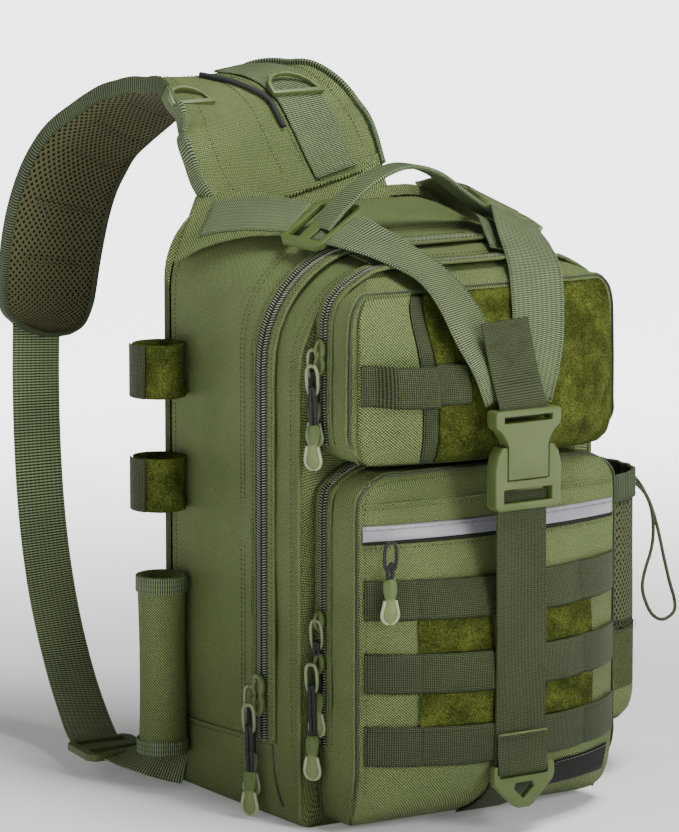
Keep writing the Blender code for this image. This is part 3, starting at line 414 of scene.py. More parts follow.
def layGrid(place, columns, rows, size, closed=False, capped=False):
    # A grid whose corners go where place(u, v) says. Size is its width, or the places of its columns, and its
    # length, for the weave
    work = bmesh.new()
    uv = work.loops.layers.uv.new("UVMap")
    bmesh.ops.create_grid(work, x_segments=columns, y_segments=rows, size=0.5, calc_uvs=True)
    for face in work.faces:
        for corner in face.loops:
            u, v = corner[uv].uv
            corner[uv].uv = (size[0][round(u * columns)] if isinstance(size[0], list) else u * size[0], v * size[1])
    for vertex in work.verts:
        u, v = vertex.co.x + 0.5, vertex.co.y + 0.5
        vertex.co = place(min(max(u, 0.0), 1.0), min(max(v, 0.0), 1.0))
    if closed:
        bmesh.ops.remove_doubles(work, verts=work.verts, dist=1e-6)
    if capped:
        rims = [edge for edge in work.edges if edge.is_boundary]
        bmesh.ops.holes_fill(work, edges=rims, sides=0)
    if closed or capped:
        bmesh.ops.recalc_face_normals(work, faces=work.faces)
    return work


def thicken(work, thickness):
    # Gives a laid sheet its wall, inwards
    bmesh.ops.solidify(work, geom=work.faces[:], thickness=thickness)
    bmesh.ops.recalc_face_normals(work, faces=work.faces)
    return work


def sweep(name, run, sides, section, look, replaces=(), slot=None, spread=None):
    # A closed section carried along a run; its first axis lies along sides
    frames = [(point, *squareTo(side, forward)) for point, side, forward in zip(run, sides, directions(run))]
    girth = travelled([Vector((*corner, 0.0)) for corner in [*section, section[0]]])
    length = sum((b - a).length for a, b in zip(run, run[1:]))
    count, rows = len(section), len(run) - 1

    def place(u, v):
        x, z = section[round(u * count) % count]
        point, side, up = frames[round(v * rows)]
        if spread:
            x *= spread(v)
        return point + side * x + up * z

    return keep(name, layGrid(place, count, rows, (girth, length), closed=True, capped=True), look, replaces, slot)


def slab(width, thickness, edge=4):
    # The section of a woven strap, with soft edges
    half, nip = width / 2, thickness / 2
    turn = [(pi / 2) * i / edge for i in range(edge + 1)]
    right = [(half - nip + nip * sin(a), nip * cos(a)) for a in turn]
    right += [(half - nip + nip * cos(a), -nip * sin(a)) for a in turn[1:]]
    body = [(half * share, nip) for share in (-0.6, -0.2, 0.2, 0.6)]
    left = [(-x, z) for x, z in reversed(right)]
    back = [(-x, -z) for x, z in body]
    return [*body, *right, *back, *left]


def strap(name, points, sides, width, thickness, look, replaces=(), steps=6, spread=None):
    run = smoothRun(points, steps)
    turned = [blended(sides, i / steps) for i in range(len(run))]
    sweep(name, run, turned, slab(width, thickness), look, replaces, spread=spread)
    return run, turned


def tube(name, points, radius, look, replaces=(), slot=None, steps=0, sides=8):
    run = smoothRun(points, steps) if steps else [Vector(point) for point in points]
    section = [(radius * cos(2 * pi * i / sides), radius * sin(2 * pi * i / sides)) for i in range(sides)]
    turn = Vector((0.3, 0.2, 0.93))
    turned = []
    for forward in directions(run):
        turn = squareTo(turn, forward)[0]
        turned.append(turn)
    sweep(name, run, turned, section, look, replaces, slot)


threadRuns = {"thread": [], "thread light": [], "thread dark": []}
stitch = {"pitch": 0.0034, "close": 0.0022, "length": 0.0024, "radius": 0.00034}


def stitchLine(points, ups, kind="thread dark", pitch=None):
    # Thread that shows on one side of the cloth, one small bead for each stitch
    run = evenRun([Vector(point) for point in points], pitch or stitch["pitch"])
    ups = [Vector(up) for up in ups]
    work = bmesh.new()
    last, radius = len(run) - 1, stitch["radius"]
    for i, (a, b) in enumerate(zip(run, run[1:])):
        up = ups[min(round((i + 0.5) / last * (len(ups) - 1)), len(ups) - 1)].normalized()
        forward = (b - a).normalized()
        side = forward.cross(up).normalized()
        bead(work, (forward, side, side.cross(forward)), (a + b) / 2 + up * radius * 0.3,
             (stitch["length"] / 2 * (b - a).length / stitch["pitch"], radius, radius))
    mesh = bpy.data.meshes.new("run")
    work.to_mesh(mesh)
    work.free()
    threadRuns[kind].append(mesh)


def gather(name, kind):
    work = bmesh.new()
    for mesh in threadRuns[kind]:
        work.from_mesh(mesh)
        bpy.data.meshes.remove(mesh)
    keep(name, work, kind)


# Surfaces of the main compartment and of the two front pockets

bodyLow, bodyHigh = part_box("main_shell")
bodyShape = {
    "halfWidth": bodyHigh.x, "height": bodyHigh.z, "front": bodyLow.y, "depth": bodyHigh.y - bodyLow.y,
    "corner": 0.077, "foot": 0.012,
    # depth share, width, height, corner, foot
    "sections": ((0.0, 0.96, 0.938, 0.95, 0.55), (0.04, 0.985, 0.948, 0.98, 0.8), (0.25, 1.0, 0.962, 1.0, 1.0),
                 (0.5, 1.0, 0.984, 0.92, 1.0), (0.78, 1.0, 0.998, 0.8, 1.0), (1.0, 0.994, 1.0, 0.68, 1.0)),
}


def bodyRing(y):
    width, height, corner, foot = eased(bodyShape["sections"], (y - bodyShape["front"]) / bodyShape["depth"])
    return (bodyShape["halfWidth"] * width, bodyShape["height"] * height, bodyShape["corner"] * corner,
            bodyShape["foot"] * foot)


def outlineLengths(half, height, corner, foot):
    return half - foot, foot * pi / 2, height - corner - foot, corner * pi / 2, half - corner


def roundTrip(half, low, top, corner, foot, share):
    # A place on a closed outline with round top and foot corners: from the middle of the foot, up the left side
    # and down the right; returns x, z and the way out
    lengths = outlineLengths(half, top - low, corner, foot)
    mirror = share > 0.5
    place = (1.0 - share if mirror else share) * 2 * sum(lengths)
    if place < lengths[0]:
        x, z, nx, nz = -place, low, 0.0, -1.0
    elif place < sum(lengths[:2]):
        a = (place - lengths[0]) / foot
        nx, nz = -sin(a), -cos(a)
        x, z = -half + foot + foot * nx, low + foot + foot * nz
    elif place < sum(lengths[:3]):
        x, z, nx, nz = -half, low + foot + place - sum(lengths[:2]), -1.0, 0.0
    elif place < sum(lengths[:4]):
        a = (place - sum(lengths[:3])) / corner
        nx, nz = -cos(a), sin(a)
        x, z = -half + corner + corner * nx, top - corner + corner * nz
    else:
        x, z, nx, nz = -half + corner + place - sum(lengths[:4]), top, 0.0, 1.0
    return (-x, z, -nx, nz) if mirror else (x, z, nx, nz)


def bodySpot(share, y):
    half, top, corner, foot = bodyRing(y)
    return roundTrip(half, 0.0, top, corner, foot, share)


def onBody(share, y, lift=0.0):
    x, z, nx, nz = bodySpot(share, y)
    return Vector((x + nx * lift, y, z + nz * lift))


def bodyOut(share, y):
    _, _, nx, nz = bodySpot(share, y)
    return Vector((nx, 0.0, nz))


def bodyShareAt(z, y):
    # How far round the outline the left side has this height
    lengths = outlineLengths(*bodyRing(y))
    return (lengths[0] + lengths[1] + z - bodyRing(y)[3]) / (2 * sum(lengths))


def bodyStitches(shares, ys, lift):
    spots = list(zip(shares, ys))
    stitchLine([onBody(*spot, lift) for spot in spots], [bodyOut(*spot) for spot in spots])


def ripple(point, size, seed=0.0):
    return noise.noise(Vector((point.x / size + seed, point.y / size, point.z / size)))


def makeBody():
    settings = {"columns": 260, "rows": 64, "face": 14, "sag": 0.0022, "sagSize": 0.085, "crease": 0.0009,
                "creaseSize": 0.030, "calm": 0.02}
    front, depth = bodyShape["front"], bodyShape["depth"]
    faceShare = settings["face"] / settings["rows"]
    girth = 2 * sum(outlineLengths(*bodyRing(front + depth / 2)))

    def place(u, v):
        if v < faceShare:
            # The front panel, from its middle out to the seam
            reach = v / faceShare
            edge = onBody(u, front + 0.0008)
            middle = Vector((0.0, front, bodyShape["height"] / 2))
            point = middle.lerp(edge, reach)
            return Vector((point.x, front + 0.030 * max(0.0, reach - 0.9) ** 2, point.z))
        y = front + depth * ((v - faceShare) / (1.0 - faceShare)) ** 1.05
        point = onBody(u, y)
        out = bodyOut(u, y)
        if point.z < 0.004:
            return point
        soft = min(1.0, point.z / 0.05)
        lift = settings["sag"] * ripple(point, settings["sagSize"])
        lift += settings["crease"] * ripple(point, settings["creaseSize"], 4.0)
        ends = min(1.0, (y - front) / settings["calm"], (front + depth - y) / settings["calm"])
        lift *= soft * max(ends, 0.0)
        return point + out * lift

    work = layGrid(place, settings["columns"], settings["rows"], (girth, depth + 0.12), closed=True)
    keep("mainCover", work, "cloth", ["main_shell"])


def makeBackPad():
    low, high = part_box("back_panel")
    settings = {"columns": 220, "rows": 40, "rim": 0.35, "wall": 0.72, "lip": high.z - bodyHigh.z, "channel": 0.045,
                "groove": 0.004}
    start, thick, rim, wall = low.y, high.y - low.y, settings["rim"], settings["wall"]

    def place(u, v):
        grow = 0.0012 + 0.0018 * sin(pi * min(v / rim, 1.0))
        half, top, corner, foot = bodyRing(bodyHigh.y)
        lift = settings["lip"] * min(1.0, v / 0.12)
        if v < rim:
            t = v / rim
            inset = 0.006 * (1 - cos(t * pi / 2)) if t > 0.5 else 0.0
            peak = top + grow + lift * 0.8 - inset
            x, z, _, _ = roundTrip(half + grow - inset, inset, peak, corner + grow, foot, u)
            return Vector((x, start + thick * wall * t, max(z, 0.0)))
        t = (v - rim) / (1.0 - rim)
        x, z, _, _ = roundTrip(half - 0.005, 0.006, top + lift * 0.8 - 0.005, corner, foot, u)
        middle = Vector((0.0, 0.0, bodyShape["height"] * 0.5))
        point = Vector((x, 0.0, z)).lerp(middle, t)
        swell = thick * wall + thick * (1.0 - wall) * min(1.0, t * 4)
        # Two sewn channels run up the pad and fade out near its rim
        channel = abs(abs(point.x) - settings["channel"])
        swell -= settings["groove"] * max(0.0, 1.0 - channel / 0.006) * min(1.0, t * 5)
        return Vector((point.x, start + swell, point.z))

    work = layGrid(place, settings["columns"], settings["rows"], (1.2, 0.3), closed=True)
    work.normal_update()
    uv = work.loops.layers.uv["UVMap"]
    for face in work.faces:
        if abs(face.normal.y) > 0.5:
            for corner in face.loops:
                corner[uv].uv = (corner.vert.co.x, corner.vert.co.z)
    piece = keep("backPad", work, "spacer", ["back_panel"])
    piece.data.materials.append(looks["cloth"])
    for face in piece.data.polygons:
        face.material_index = 1 if face.center.y < start + thick * 0.70 else 0


class Pocket:
    def __init__(self, node, settings):
        low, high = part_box(node)
        self.node = node
        self.settings = settings
        self.low, self.high = low.z, high.z
        self.centre = (low.x + high.x) / 2
        self.half = (high.x - low.x) / 2
        self.back = high.y
        self.depth, self.crown = settings["depth"], settings["crown"]

    def level(self, z):
        width, depth, crown = eased(self.settings["sections"], (z - self.low) / (self.high - self.low))
        return self.half * width, self.back - self.depth * depth, self.crown * crown

    def crownAt(self, share):
        return 1.0 - abs(2.0 * share - 1.0) ** self.settings["power"]

    def front(self, share, z, lift=0.0):
        half, side, crown = self.level(z)
        return Vector((self.centre - half + 2 * half * share, side - crown * self.crownAt(share) - lift, z))

    def share(self, x, half=None):
        return (x - self.centre) / (2 * (half or self.half)) + 0.5

    def at(self, x, z, lift=0.0):
        return self.front(self.share(x, self.level(z)[0]), z, lift)

    def out(self, x, z):
        step = 0.002
        across = self.at(x + step, z) - self.at(x - step, z)
        up = self.at(x, z + step) - self.at(x, z - step)
        return across.cross(up).normalized()

    def sew(self, line, lift, kind="thread dark", pitch=None):
        stitchLine([self.at(x, z, lift) for x, z in line], [self.out(x, z) for x, z in line], kind, pitch)

    def mirrored(self, points):
        return [Vector((2 * self.centre - point.x, point.y, point.z)) for point in reversed(points)]

    def edgePath(self, steps, lift=0.0, side=0.0):
        # Up the left edge of the front panel, over its top and down its right edge
        low = self.low + 0.004
        top = self.low + (self.high - self.low) * self.settings["brow"] - 0.0005
        run = []
        for i in range(steps + 1):
            z = low + (top - low) * (i / steps) ** 0.7
            point = self.front(0.0, z, lift)
            run.append(Vector((point.x - side, point.y, z)))
        over = [self.front(i / 10, top, lift) + upward * side for i in range(1, 10)]
        return [*run, *over, *self.mirrored(run)]

    def gussetPath(self, y, low, steps, lift=0.0):
        # Up the left gusset at one depth, over the top and down the right
        heights = [low + (self.high - low) * (i / steps) ** 0.8 for i in range(steps + 1)]
        run = [Vector((self.centre - self.level(z)[0] - lift, y, z)) for z in heights]
        half = self.level(self.high)[0]
        over = [Vector((self.centre - half + 2 * half * i / 10, y, self.high + lift)) for i in range(1, 10)]
        return [*run, *over, *self.mirrored(run)]

    def make(self, name):
        columns, rows = self.settings["grid"]
        sideShare, topShare = 0.14, 0.06
        corner, height = self.settings["corner"], self.high - self.low

        def place(u, v):
            fold = 1.0
            if v < topShare:
                z, fold = self.low, v / topShare
            elif v > 1.0 - topShare:
                z, fold = self.high, (1.0 - v) / topShare
            else:
                z = self.low + height * (v - topShare) / (1.0 - 2 * topShare)
            half, side, _ = self.level(z)
            if u < sideShare or u > 1.0 - sideShare:
                t = (u if u < 0.5 else 1.0 - u) / sideShare
                x = -half
                y = self.back + (side - self.back) * t
                inside = min(1.0, (z - self.low) / 0.03, (self.high - z) / 0.03)
                x -= max(0.0, self.settings["swell"] * sin(pi * t) * inside)
                x += corner * max(0.0, t - 0.9) ** 2 * 25
                point = Vector((self.centre + (x if u < 0.5 else -x), y, z))
                out = Vector((-1.0 if u < 0.5 else 1.0, 0.0, 0.0))
            else:
                share = (u - sideShare) / (1.0 - 2 * sideShare)
                point = self.front(share, z)
                out = forwards
                edge = min(share, 1.0 - share)
                point.y += corner * max(0.0, 1.0 - edge / 0.012) ** 2 * 0.5
            lift = self.settings["sag"] * ripple(point, 0.06, 9.0)
            lift += self.settings["crease"] * ripple(point, 0.022, 2.0)
            soft = min(1.0, (z - self.low) / 0.02, (self.high - z) / 0.02)
            point += out * lift * max(0.0, soft)
            point.y = self.back + (point.y - self.back) * max(fold, 0.02)
            return point

        girth = 2 * self.half + 2 * self.depth + 0.03
        work = layGrid(place, columns, rows, (girth, height + 0.06), closed=True, capped=True)
        keep(name, work, "cloth", [self.node])


lowerPocket = Pocket("lower_pocket", {
    "depth": 0.050, "crown": 0.039, "power": 2.3, "corner": 0.003, "grid": (220, 150), "swell": 0.0025, "brow": 1.0,
    "sag": 0.0014, "crease": 0.0007,
    # height, width, depth, crown
    "sections": ((0.0, 0.9, 0.5, 0.02), (0.014, 0.95, 0.66, 0.1), (0.055, 0.985, 0.86, 0.42),
                 (0.115, 0.995, 0.96, 0.76), (0.205, 1.0, 1.0, 0.97), (0.4, 1.0, 1.0, 1.0),
                 (0.6, 1.0, 1.0, 0.88), (0.76, 1.0, 1.0, 0.6), (0.86, 1.0, 1.0, 0.32), (0.91, 0.998, 1.0, 0.22),
                 (0.95, 0.975, 1.0, 0.13), (0.98, 0.92, 1.0, 0.07), (1.0, 0.78, 0.97, 0.02))})
upperPocket = Pocket("upper_pocket", {
    "depth": 0.041, "crown": 0.036, "power": 2.3, "corner": 0.003, "grid": (220, 110), "swell": 0.0020, "brow": 0.915,
    "sag": 0.0012, "crease": 0.0006,
    "sections": ((0.0, 0.78, 0.86, 0.3), (0.035, 0.905, 0.95, 0.5), (0.1, 0.975, 1.0, 0.8),
                 (0.19, 1.0, 1.0, 0.98), (0.4, 1.0, 1.0, 1.0), (0.62, 0.995, 1.0, 0.68),
                 (0.75, 0.99, 1.0, 0.36), (0.83, 0.97, 1.0, 0.16), (0.88, 0.935, 1.0, 0.06),
                 (0.91, 0.88, 0.97, 0.0), (0.955, 0.8, 0.66, 0.0), (1.0, 0.69, 0.34, 0.0))})


# Flat pieces sewn on the pocket fronts

def frontPatch(name, pocket, left, right, low, high, thickness, look, replaces=(), lift=0.0006, grid=(48, 12),
               bulge=None, turned=False):
    width, height = right - left, high - low

    def place(u, v):
        x, z = left + width * u, low + height * v
        rise = thickness + lift
        edge = min(u * width, (1 - u) * width, v * height, (1 - v) * height)
        rise -= thickness * 0.55 * max(0.0, 1.0 - edge / 0.0016) ** 2
        if bulge:
            rise += bulge(u, v)
        return pocket.front(pocket.share(x), z, rise)

    work = layGrid(place, *grid, (width, height))
    if turned:
        layer = work.loops.layers.uv.active
        for face in work.faces:
            for corner in face.loops:
                corner[layer].uv = (corner[layer].uv.y, corner[layer].uv.x)
    thicken(work, thickness)
    keep(name, work, look, replaces)


rowShape = {"low": 0.055, "pitch": 0.0508, "height": 0.0262, "edge": 0.105, "thickness": 0.0017, "cell": 0.066,
            "bulge": 0.0020}


def makeRows():
    edge, cell = rowShape["edge"], rowShape["cell"]
    bars = [-0.005 + cell * i for i in (-1, 0, 1)]

    def bulge(u, v):
        x = -edge + 2 * edge * u
        near = min(abs(x - bar) for bar in [*bars, -edge, edge])
        return rowShape["bulge"] * min(1.0, near / 0.019) ** 0.6

    for i, node in enumerate(("molle_row_low", "molle_row_mid", "molle_row_top")):
        low = rowShape["low"] + rowShape["pitch"] * i
        frontPatch(node.replace("molle_row", "webbingRow"), lowerPocket, -edge, edge, low, low + rowShape["height"],
                   rowShape["thickness"], "gridded", [node], grid=(150, 14), bulge=bulge, turned=True)
        for bar in bars:
            for shift in (-0.0008, 0.0008):
                line = [(bar + shift, low + rowShape["height"] * t) for t in (0.06, 0.3, 0.7, 0.94)]
                lowerPocket.sew(line, rowShape["thickness"] + 0.0009, pitch=stitch["close"])


def makePatches():
    pile = {"out": 0.073, "inner": 0.0205, "gap": 0.0003, "thickness": 0.0016}
    out, inner = pile["out"], pile["inner"]
    for tier in range(2):
        low = rowShape["low"] + rowShape["height"] + rowShape["pitch"] * tier + pile["gap"]
        high = rowShape["low"] + rowShape["pitch"] * (tier + 1) - pile["gap"]
        for side, left, right in (("left", -out, -inner), ("right", inner, out)):
            frontPatch(f"pilePatch_{side}_{tier}", lowerPocket, left, right, low, high, pile["thickness"], "pile",
                       [f"loop_patch_{side}_{('low', 'high')[tier]}"],
                       bulge=lambda u, v: 0.0004 * noise.noise(Vector((u * 30, v * 14, tier))))
    label = {"left": 0.034, "right": 0.098, "thickness": 0.0013, "inset": 0.0014, "thread": 0.0022}
    low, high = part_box("label_patch")
    frontPatch("barePatch", lowerPocket, label["left"], label["right"], low.z, high.z, label["thickness"], "label",
               ["label_patch"])
    left, right = label["left"] + label["inset"], label["right"] - label["inset"]
    foot, head = low.z + label["inset"], high.z - label["inset"]
    across, rise = spaced(left, right - left, 14), spaced(foot, head - foot, 4)
    lines = [[(x, z) for x in across] for z in (head, foot)] + [[(x, z) for z in rise] for x in (left, right)]
    for line in lines:
        placed = [lowerPocket.front(lowerPocket.share(x), z, label["thread"]) for x, z in line]
        stitchLine(placed, [lowerPocket.out(x, z) for x, z in line], "thread light")
    edge = rowShape["edge"]
    low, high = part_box("reflective_strip")
    frontPatch("reflectiveStrip", lowerPocket, -edge, edge, low.z, high.z, 0.0010, "stripe", ["reflective_strip"],
               grid=(90, 8))
    zigzag = [(x, high.z - 0.0030 + 0.0011 * (-1) ** i) for i, x in enumerate(spaced(0.001 - edge, 0.208, 90))]
    lowerPocket.sew(zigzag, 0.0018, "thread", 0.0026)
    # The flap's lower edge hides a zip, and a fold is sewn across above the tape
    frontPatch("flapEdge", lowerPocket, -edge, edge, low.z - 0.0017, low.z + 0.0002, 0.0010, "tape", grid=(90, 3),
               turned=True)
    fold = {"height": 0.2340, "drop": 0.0030, "radius": 0.0011, "under": 0.0050}
    span = spaced(0.001 - edge, 0.208, 60)
    tube("flapFold", [lowerPocket.at(x, fold["height"], 0.0002) for x in span], fold["radius"], "cloth", sides=7)
    for z in (fold["height"] - fold["drop"], low.z - fold["under"]):
        lowerPocket.sew([(x, z) for x in span], 0.0006)


# Zips: tape, two rows of teeth and the cloth lips beside them

def zipRun(label, points, ups, acrosses, replaces, half, lipWidths):
    tooth = {"pitch": 0.0019, "length": half * 0.84, "thick": 0.00037, "slant": 0.24, "lift": 0.0018}
    lip = {"lift": 0.0012, "overlap": 0.0008, "thickness": 0.0026, "thread": 0.0026, "inset": 0.0016}
    run = evenRun([Vector(point) for point in points], 0.005)

    def frameAt(share):
        place = share * (len(points) - 1)
        return blended(ups, place), blended(acrosses, place)

    frames = [frameAt(i / (len(run) - 1)) for i in range(len(run))]
    outs, sides = zip(*frames)

    def beside(offset, lift):
        return [point + across * offset + up * lift for point, (up, across) in zip(run, frames)]

    sweep(label + "_tape", beside(0.0, 0.0009), sides, slab(half * 2, 0.0008, 2), "tape", replaces)
    beads = evenRun(run, tooth["pitch"])
    work = bmesh.new()
    last = len(beads) - 1
    for i in range(last):
        up, across = frameAt((i + 0.5) / last)
        forward = (beads[i + 1] - beads[i]).normalized()
        for sign in (-1, 1):
            axis = (across * sign + forward * tooth["slant"]).normalized()
            seat = beads[i].lerp(beads[i + 1], 0.5 + 0.25 * sign)
            seat = seat + across * sign * tooth["length"] * 0.52 + up * tooth["lift"]
            bead(work, (axis, up.cross(axis).normalized(), up), seat,
                 (tooth["length"] / 2, tooth["thick"], tooth["thick"] * 1.2))
    keep(label + "_teeth", work, "coil")
    for sign, width in zip((-1, 1), lipWidths):
        offset = sign * (half + width / 2 - lip["overlap"])
        section = slab(width, lip["thickness"], 3)
        sweep(f"{label}_lip_{'ab'[sign > 0]}", beside(offset, lip["lift"]), sides, section, "lip")
        stitchLine(beside(sign * (half + lip["inset"]), lip["thread"]), outs)
        if width > 0.008:
            # A wide lip has a second row, near its outer edge
            stitchLine(beside(sign * (half + width - 0.0026), lip["thread"]), outs)


zipDepths = {"main": -0.0228, "lower": -0.0735, "upper": -0.0745}


def makeZips():
    y = zipDepths["main"]
    start = bodyShareAt(0.057, y)
    shares = spaced(start, 1.0 - 2 * start, 60)
    zipRun("mainZip", [onBody(s, y, 0.0004) for s in shares], [bodyOut(s, y) for s in shares], [backward] * 61,
           ["main_zip"], 0.0084, (0.0090, 0.0060))
    for pocket, label, low in ((lowerPocket, "lower", 0.060), (upperPocket, "upper", 0.272)):
        run = evenRun(smoothRun(pocket.gussetPath(zipDepths[label], low, 12, 0.0018), 4), 0.012)
        ups = [Vector((-d.z, 0.0, d.x)).normalized() for d in directions(run)]
        zipRun(label + "Zip", run, ups, [backward] * len(run), [label + "_zip"], 0.0058, (0.0060, 0.0046))


def makeSeams():
    # Piping of the main front, edge tapes of the pockets and the seams beside the main zip
    front = bodyShape["front"]
    edge = [onBody(s, front + 0.0005, 0.0006) for s in spaced(0.08, 0.84, 110)]
    tube("frontPiping", [point for point in edge if point.z > 0.0022], 0.0019, "lip")
    for y in (front + 0.0060, 0.0012, 0.0058, 0.0950):
        start = bodyShareAt(0.012 if y > 0 else 0.057, y)
        bodyStitches(spaced(start, 1.0 - 2 * start, 90), [y] * 91, 0.0008)
    foot = [upperPocket.front(i / 30, upperPocket.low + 0.0030, 0.0004) for i in range(1, 30)]
    tube("upperFootFold", foot, 0.0015, "lip", sides=7)
    # The gusset is sewn to the foot of the bag below the zip's end, and the front's seam bends forwards there
    bend = ((0.07, -0.033), (0.05, -0.0345), (0.032, -0.0372), (0.018, -0.043), (0.008, -0.052), (0.002, -0.06))
    bend = [point for point in smoothRun([Vector((0.0, y, z)) for z, y in bend], 5) if point.z > 0.0125]
    ys = spaced(-0.0330, 0.1330, 30)
    for side in (0, 1):
        line = [onBody(abs(side - bodyShareAt(point.z, point.y)), point.y, 0.0004) for point in bend]
        tube(f"bendSeam_{side}", line, 0.0010, "binding", slot="cloth_green", sides=6)
        for drop in (0.0, 0.0030):
            heights = [0.052 + 0.0055 * (1 - i / 30) ** 1.5 - drop for i in range(31)]
            shares = [abs(side - bodyShareAt(z, y)) for z, y in zip(heights, ys)]
            if drop:
                bodyStitches(shares, ys, 0.0009)
            else:
                line = [onBody(share, y, 0.0006) for share, y in zip(shares, ys)]
                tube(f"footPiping_{side}", line, 0.0013, "lip", sides=7)
    for pocket, label in ((lowerPocket, "lowerEdge"), (upperPocket, "upperEdge")):
        run = evenRun(smoothRun(pocket.edgePath(16, 0.0003, 0.0001), 3), 0.004)
        # A thin dark line in each edge seam: partly the seam itself, partly painted shade in the seam's crease
        tube(label + "Piping", run, 0.0008, "thread dark", sides=6)
        sideways = [(point - Vector((pocket.centre, point.y, point.z))).normalized() for point in run]
        beside = [point + backward * 0.0030 + out * 0.0006 for point, out in zip(run, sideways)]
        tube(label + "Fold", beside, 0.0016, "lip", sides=7)
        run = evenRun(smoothRun(pocket.gussetPath(pocket.back - 0.0022, pocket.low + 0.01, 12, 0.0006), 3), 0.004)
        tube(label + "Root", run, 0.0018, "binding", slot="cloth_green", sides=7)
        seam = [point + backward * 0.0042 for point in pocket.edgePath(20, 0.0, 0.0012)]
        stitchLine(seam, [Vector((-d.z, 0.0, d.x)) for d in directions(seam)])
        # A row of stitches on the front, beside the piping
        inset = 0.0045
        top = pocket.low + (pocket.high - pocket.low) * pocket.settings["brow"] - inset
        pocket.sew([(point.x + inset, min(point.z, top)) for point in pocket.edgePath(24)[:28]], 0.0006)


# Straps, buckle and handle

strapShape = {"wide": 0.038, "thin": 0.0017}


def makeFrontStraps():
    settings = {"width": 0.0415, "shift": -0.0018, "fold": 0.0412, "rise": 0.0225, "dip": 0.0062, "seam": 0.0165}
    low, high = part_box("centre_strap")
    x, y, thin = settings["shift"], (low.y + high.y) / 2, strapShape["thin"]
    lay = ((0.0, 0.0), (0.2, 0.0), (0.4, -0.0008), (0.6, -0.0006), (0.8, 0.0), (1.0, 0.0))
    points = [Vector((x, y + out, low.z + (high.z - low.z) * t)) for t, out in lay]
    strap("centreStrap", points, [rightward] * 6, settings["width"], thin, "gridded", ["centre_strap"])
    # Its end comes back up through the ring and is sewn down in front
    foldLow, foldHigh = (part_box("triangle_ring")[1].z + rise for rise in (-settings["dip"], settings["rise"]))
    face = y - 0.0030
    lay = ((0.0022, foldLow - 0.0012), (-0.0010, foldLow + 0.0026), (-0.0004, foldLow + 0.0090),
           (0.0001, foldLow + 0.0160), (0.0004, foldHigh - 0.0060), (0.0008, foldHigh))
    points = [Vector((x, face + out, z)) for out, z in lay]
    strap("strapFold", points, [rightward] * 6, settings["fold"], 0.0018, "gridded")
    edge = [Vector((x + 0.0405 * (t / 12 - 0.5), face - 0.0003, foldHigh - 0.0002)) for t in range(13)]
    tube("foldEdge", edge, 0.0009, "lip", slot="webbing_green", sides=6)
    for z in (foldHigh - 0.0040, foldHigh - 0.0120):
        stitchLine([Vector((x + sign * settings["seam"], face - 0.0006, z)) for sign in (-1, 1)], [forwards] * 2,
                   pitch=stitch["close"])
    # Webbing round the lower bar of the buckle
    low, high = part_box("buckle_socket")
    middle = Vector((0.0, (low.y + high.y) / 2 + 0.0008, low.z + 0.0128))
    turns = [radians(a) for a in spaced(-150, 300, 14)]
    roll = [middle + Vector((0.0, -0.0040 * cos(a), 0.0048 * sin(a))) for a in turns]
    strap("barWebbing", roll, [rightward] * 15, 0.0385, 0.0015, "gridded", steps=1)
    half = strapShape["wide"] / 2
    frontPatch("underStrap", lowerPocket, -half, half, 0.0075, 0.0545, thin, "gridded", ["under_strap"],
               grid=(16, 24))
    low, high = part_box("junction_patch")
    # height over the patch's foot, x, y
    lay = ((0.0, -0.001, y), (0.008, -0.001, y), (0.03, -0.0022, -0.1462), (0.05, -0.0036, -0.141),
           (0.065, -0.0046, -0.1372))
    route = [Vector((x, back, low.z + rise)) for rise, x, back in lay]
    strap("junctionPatch", route, [rightward] * 5, 0.0396, 0.0022, "gridded", ["junction_patch"])

    def onPatch(side, rise):
        x, back = eased(lay, rise)
        return Vector((x + side, back - 0.0015, low.z + rise))

    # Three rows of thread and a cross
    seams = [((-0.0160, rise), (0.0160, rise)) for rise in (0.0615, 0.0500, 0.0240)]
    seams += [((sign * -0.0150, 0.0490), (sign * 0.0150, 0.0250)) for sign in (-1, 1)]
    for (side, rise), (otherSide, otherRise) in seams:
        marks = zip(spaced(side, otherSide - side, 8), spaced(rise, otherRise - rise, 8))
        stitchLine([onPatch(*mark) for mark in marks], [forwards] * 9, pitch=stitch["close"])


vShape = {
    "spread": 0.078, "shift": 0.010, "y": -0.005, "height": 0.413, "reach": 0.142, "drop": 0.107, "foot": 0.0095,
    # forward, spread, drop
    "sections": ((0.0, 1.0, 0.0), (0.15, 0.93, 0.03), (0.42, 0.69, 0.115), (0.67, 0.49, 0.245),
                 (0.8, 0.36, 0.415), (0.89, 0.25, 0.625), (0.96, 0.11, 0.82), (1.0, 0.0, 1.0)),
}


def vPoint(side, forward, spread, drop):
    centre = vShape["shift"] * (1.0 - forward)
    offset = vShape["foot"] + (vShape["spread"] - vShape["foot"]) * spread
    y, z = vShape["y"] - vShape["reach"] * forward, vShape["height"] - vShape["drop"] * drop
    return Vector((centre + side * offset, y, z))


def vAcross(side, forward):
    lean = 1.0 - min(forward / 0.8, 1.0)
    turn = 0.24 * lean + 0.42 * (1.0 - abs(2 * forward - 1.2)) * (forward < 0.98)
    return Vector((0.9, -side * turn, -side * 0.45 * lean)).normalized()


def lockFrame(side):
    along = Vector((side * -0.30, -0.94, -0.10)).normalized()
    across, up = squareTo(vAcross(side, 0.0), along)
    return across, along, up


def facing(run, turned, towards):
    # For each point of a strap, its edge direction and the way out that looks towards a side
    for point, side, forward in zip(run, turned, directions(run)):
        flat, away = squareTo(side, forward)
        yield point, flat, away if away.dot(towards) > 0 else -away


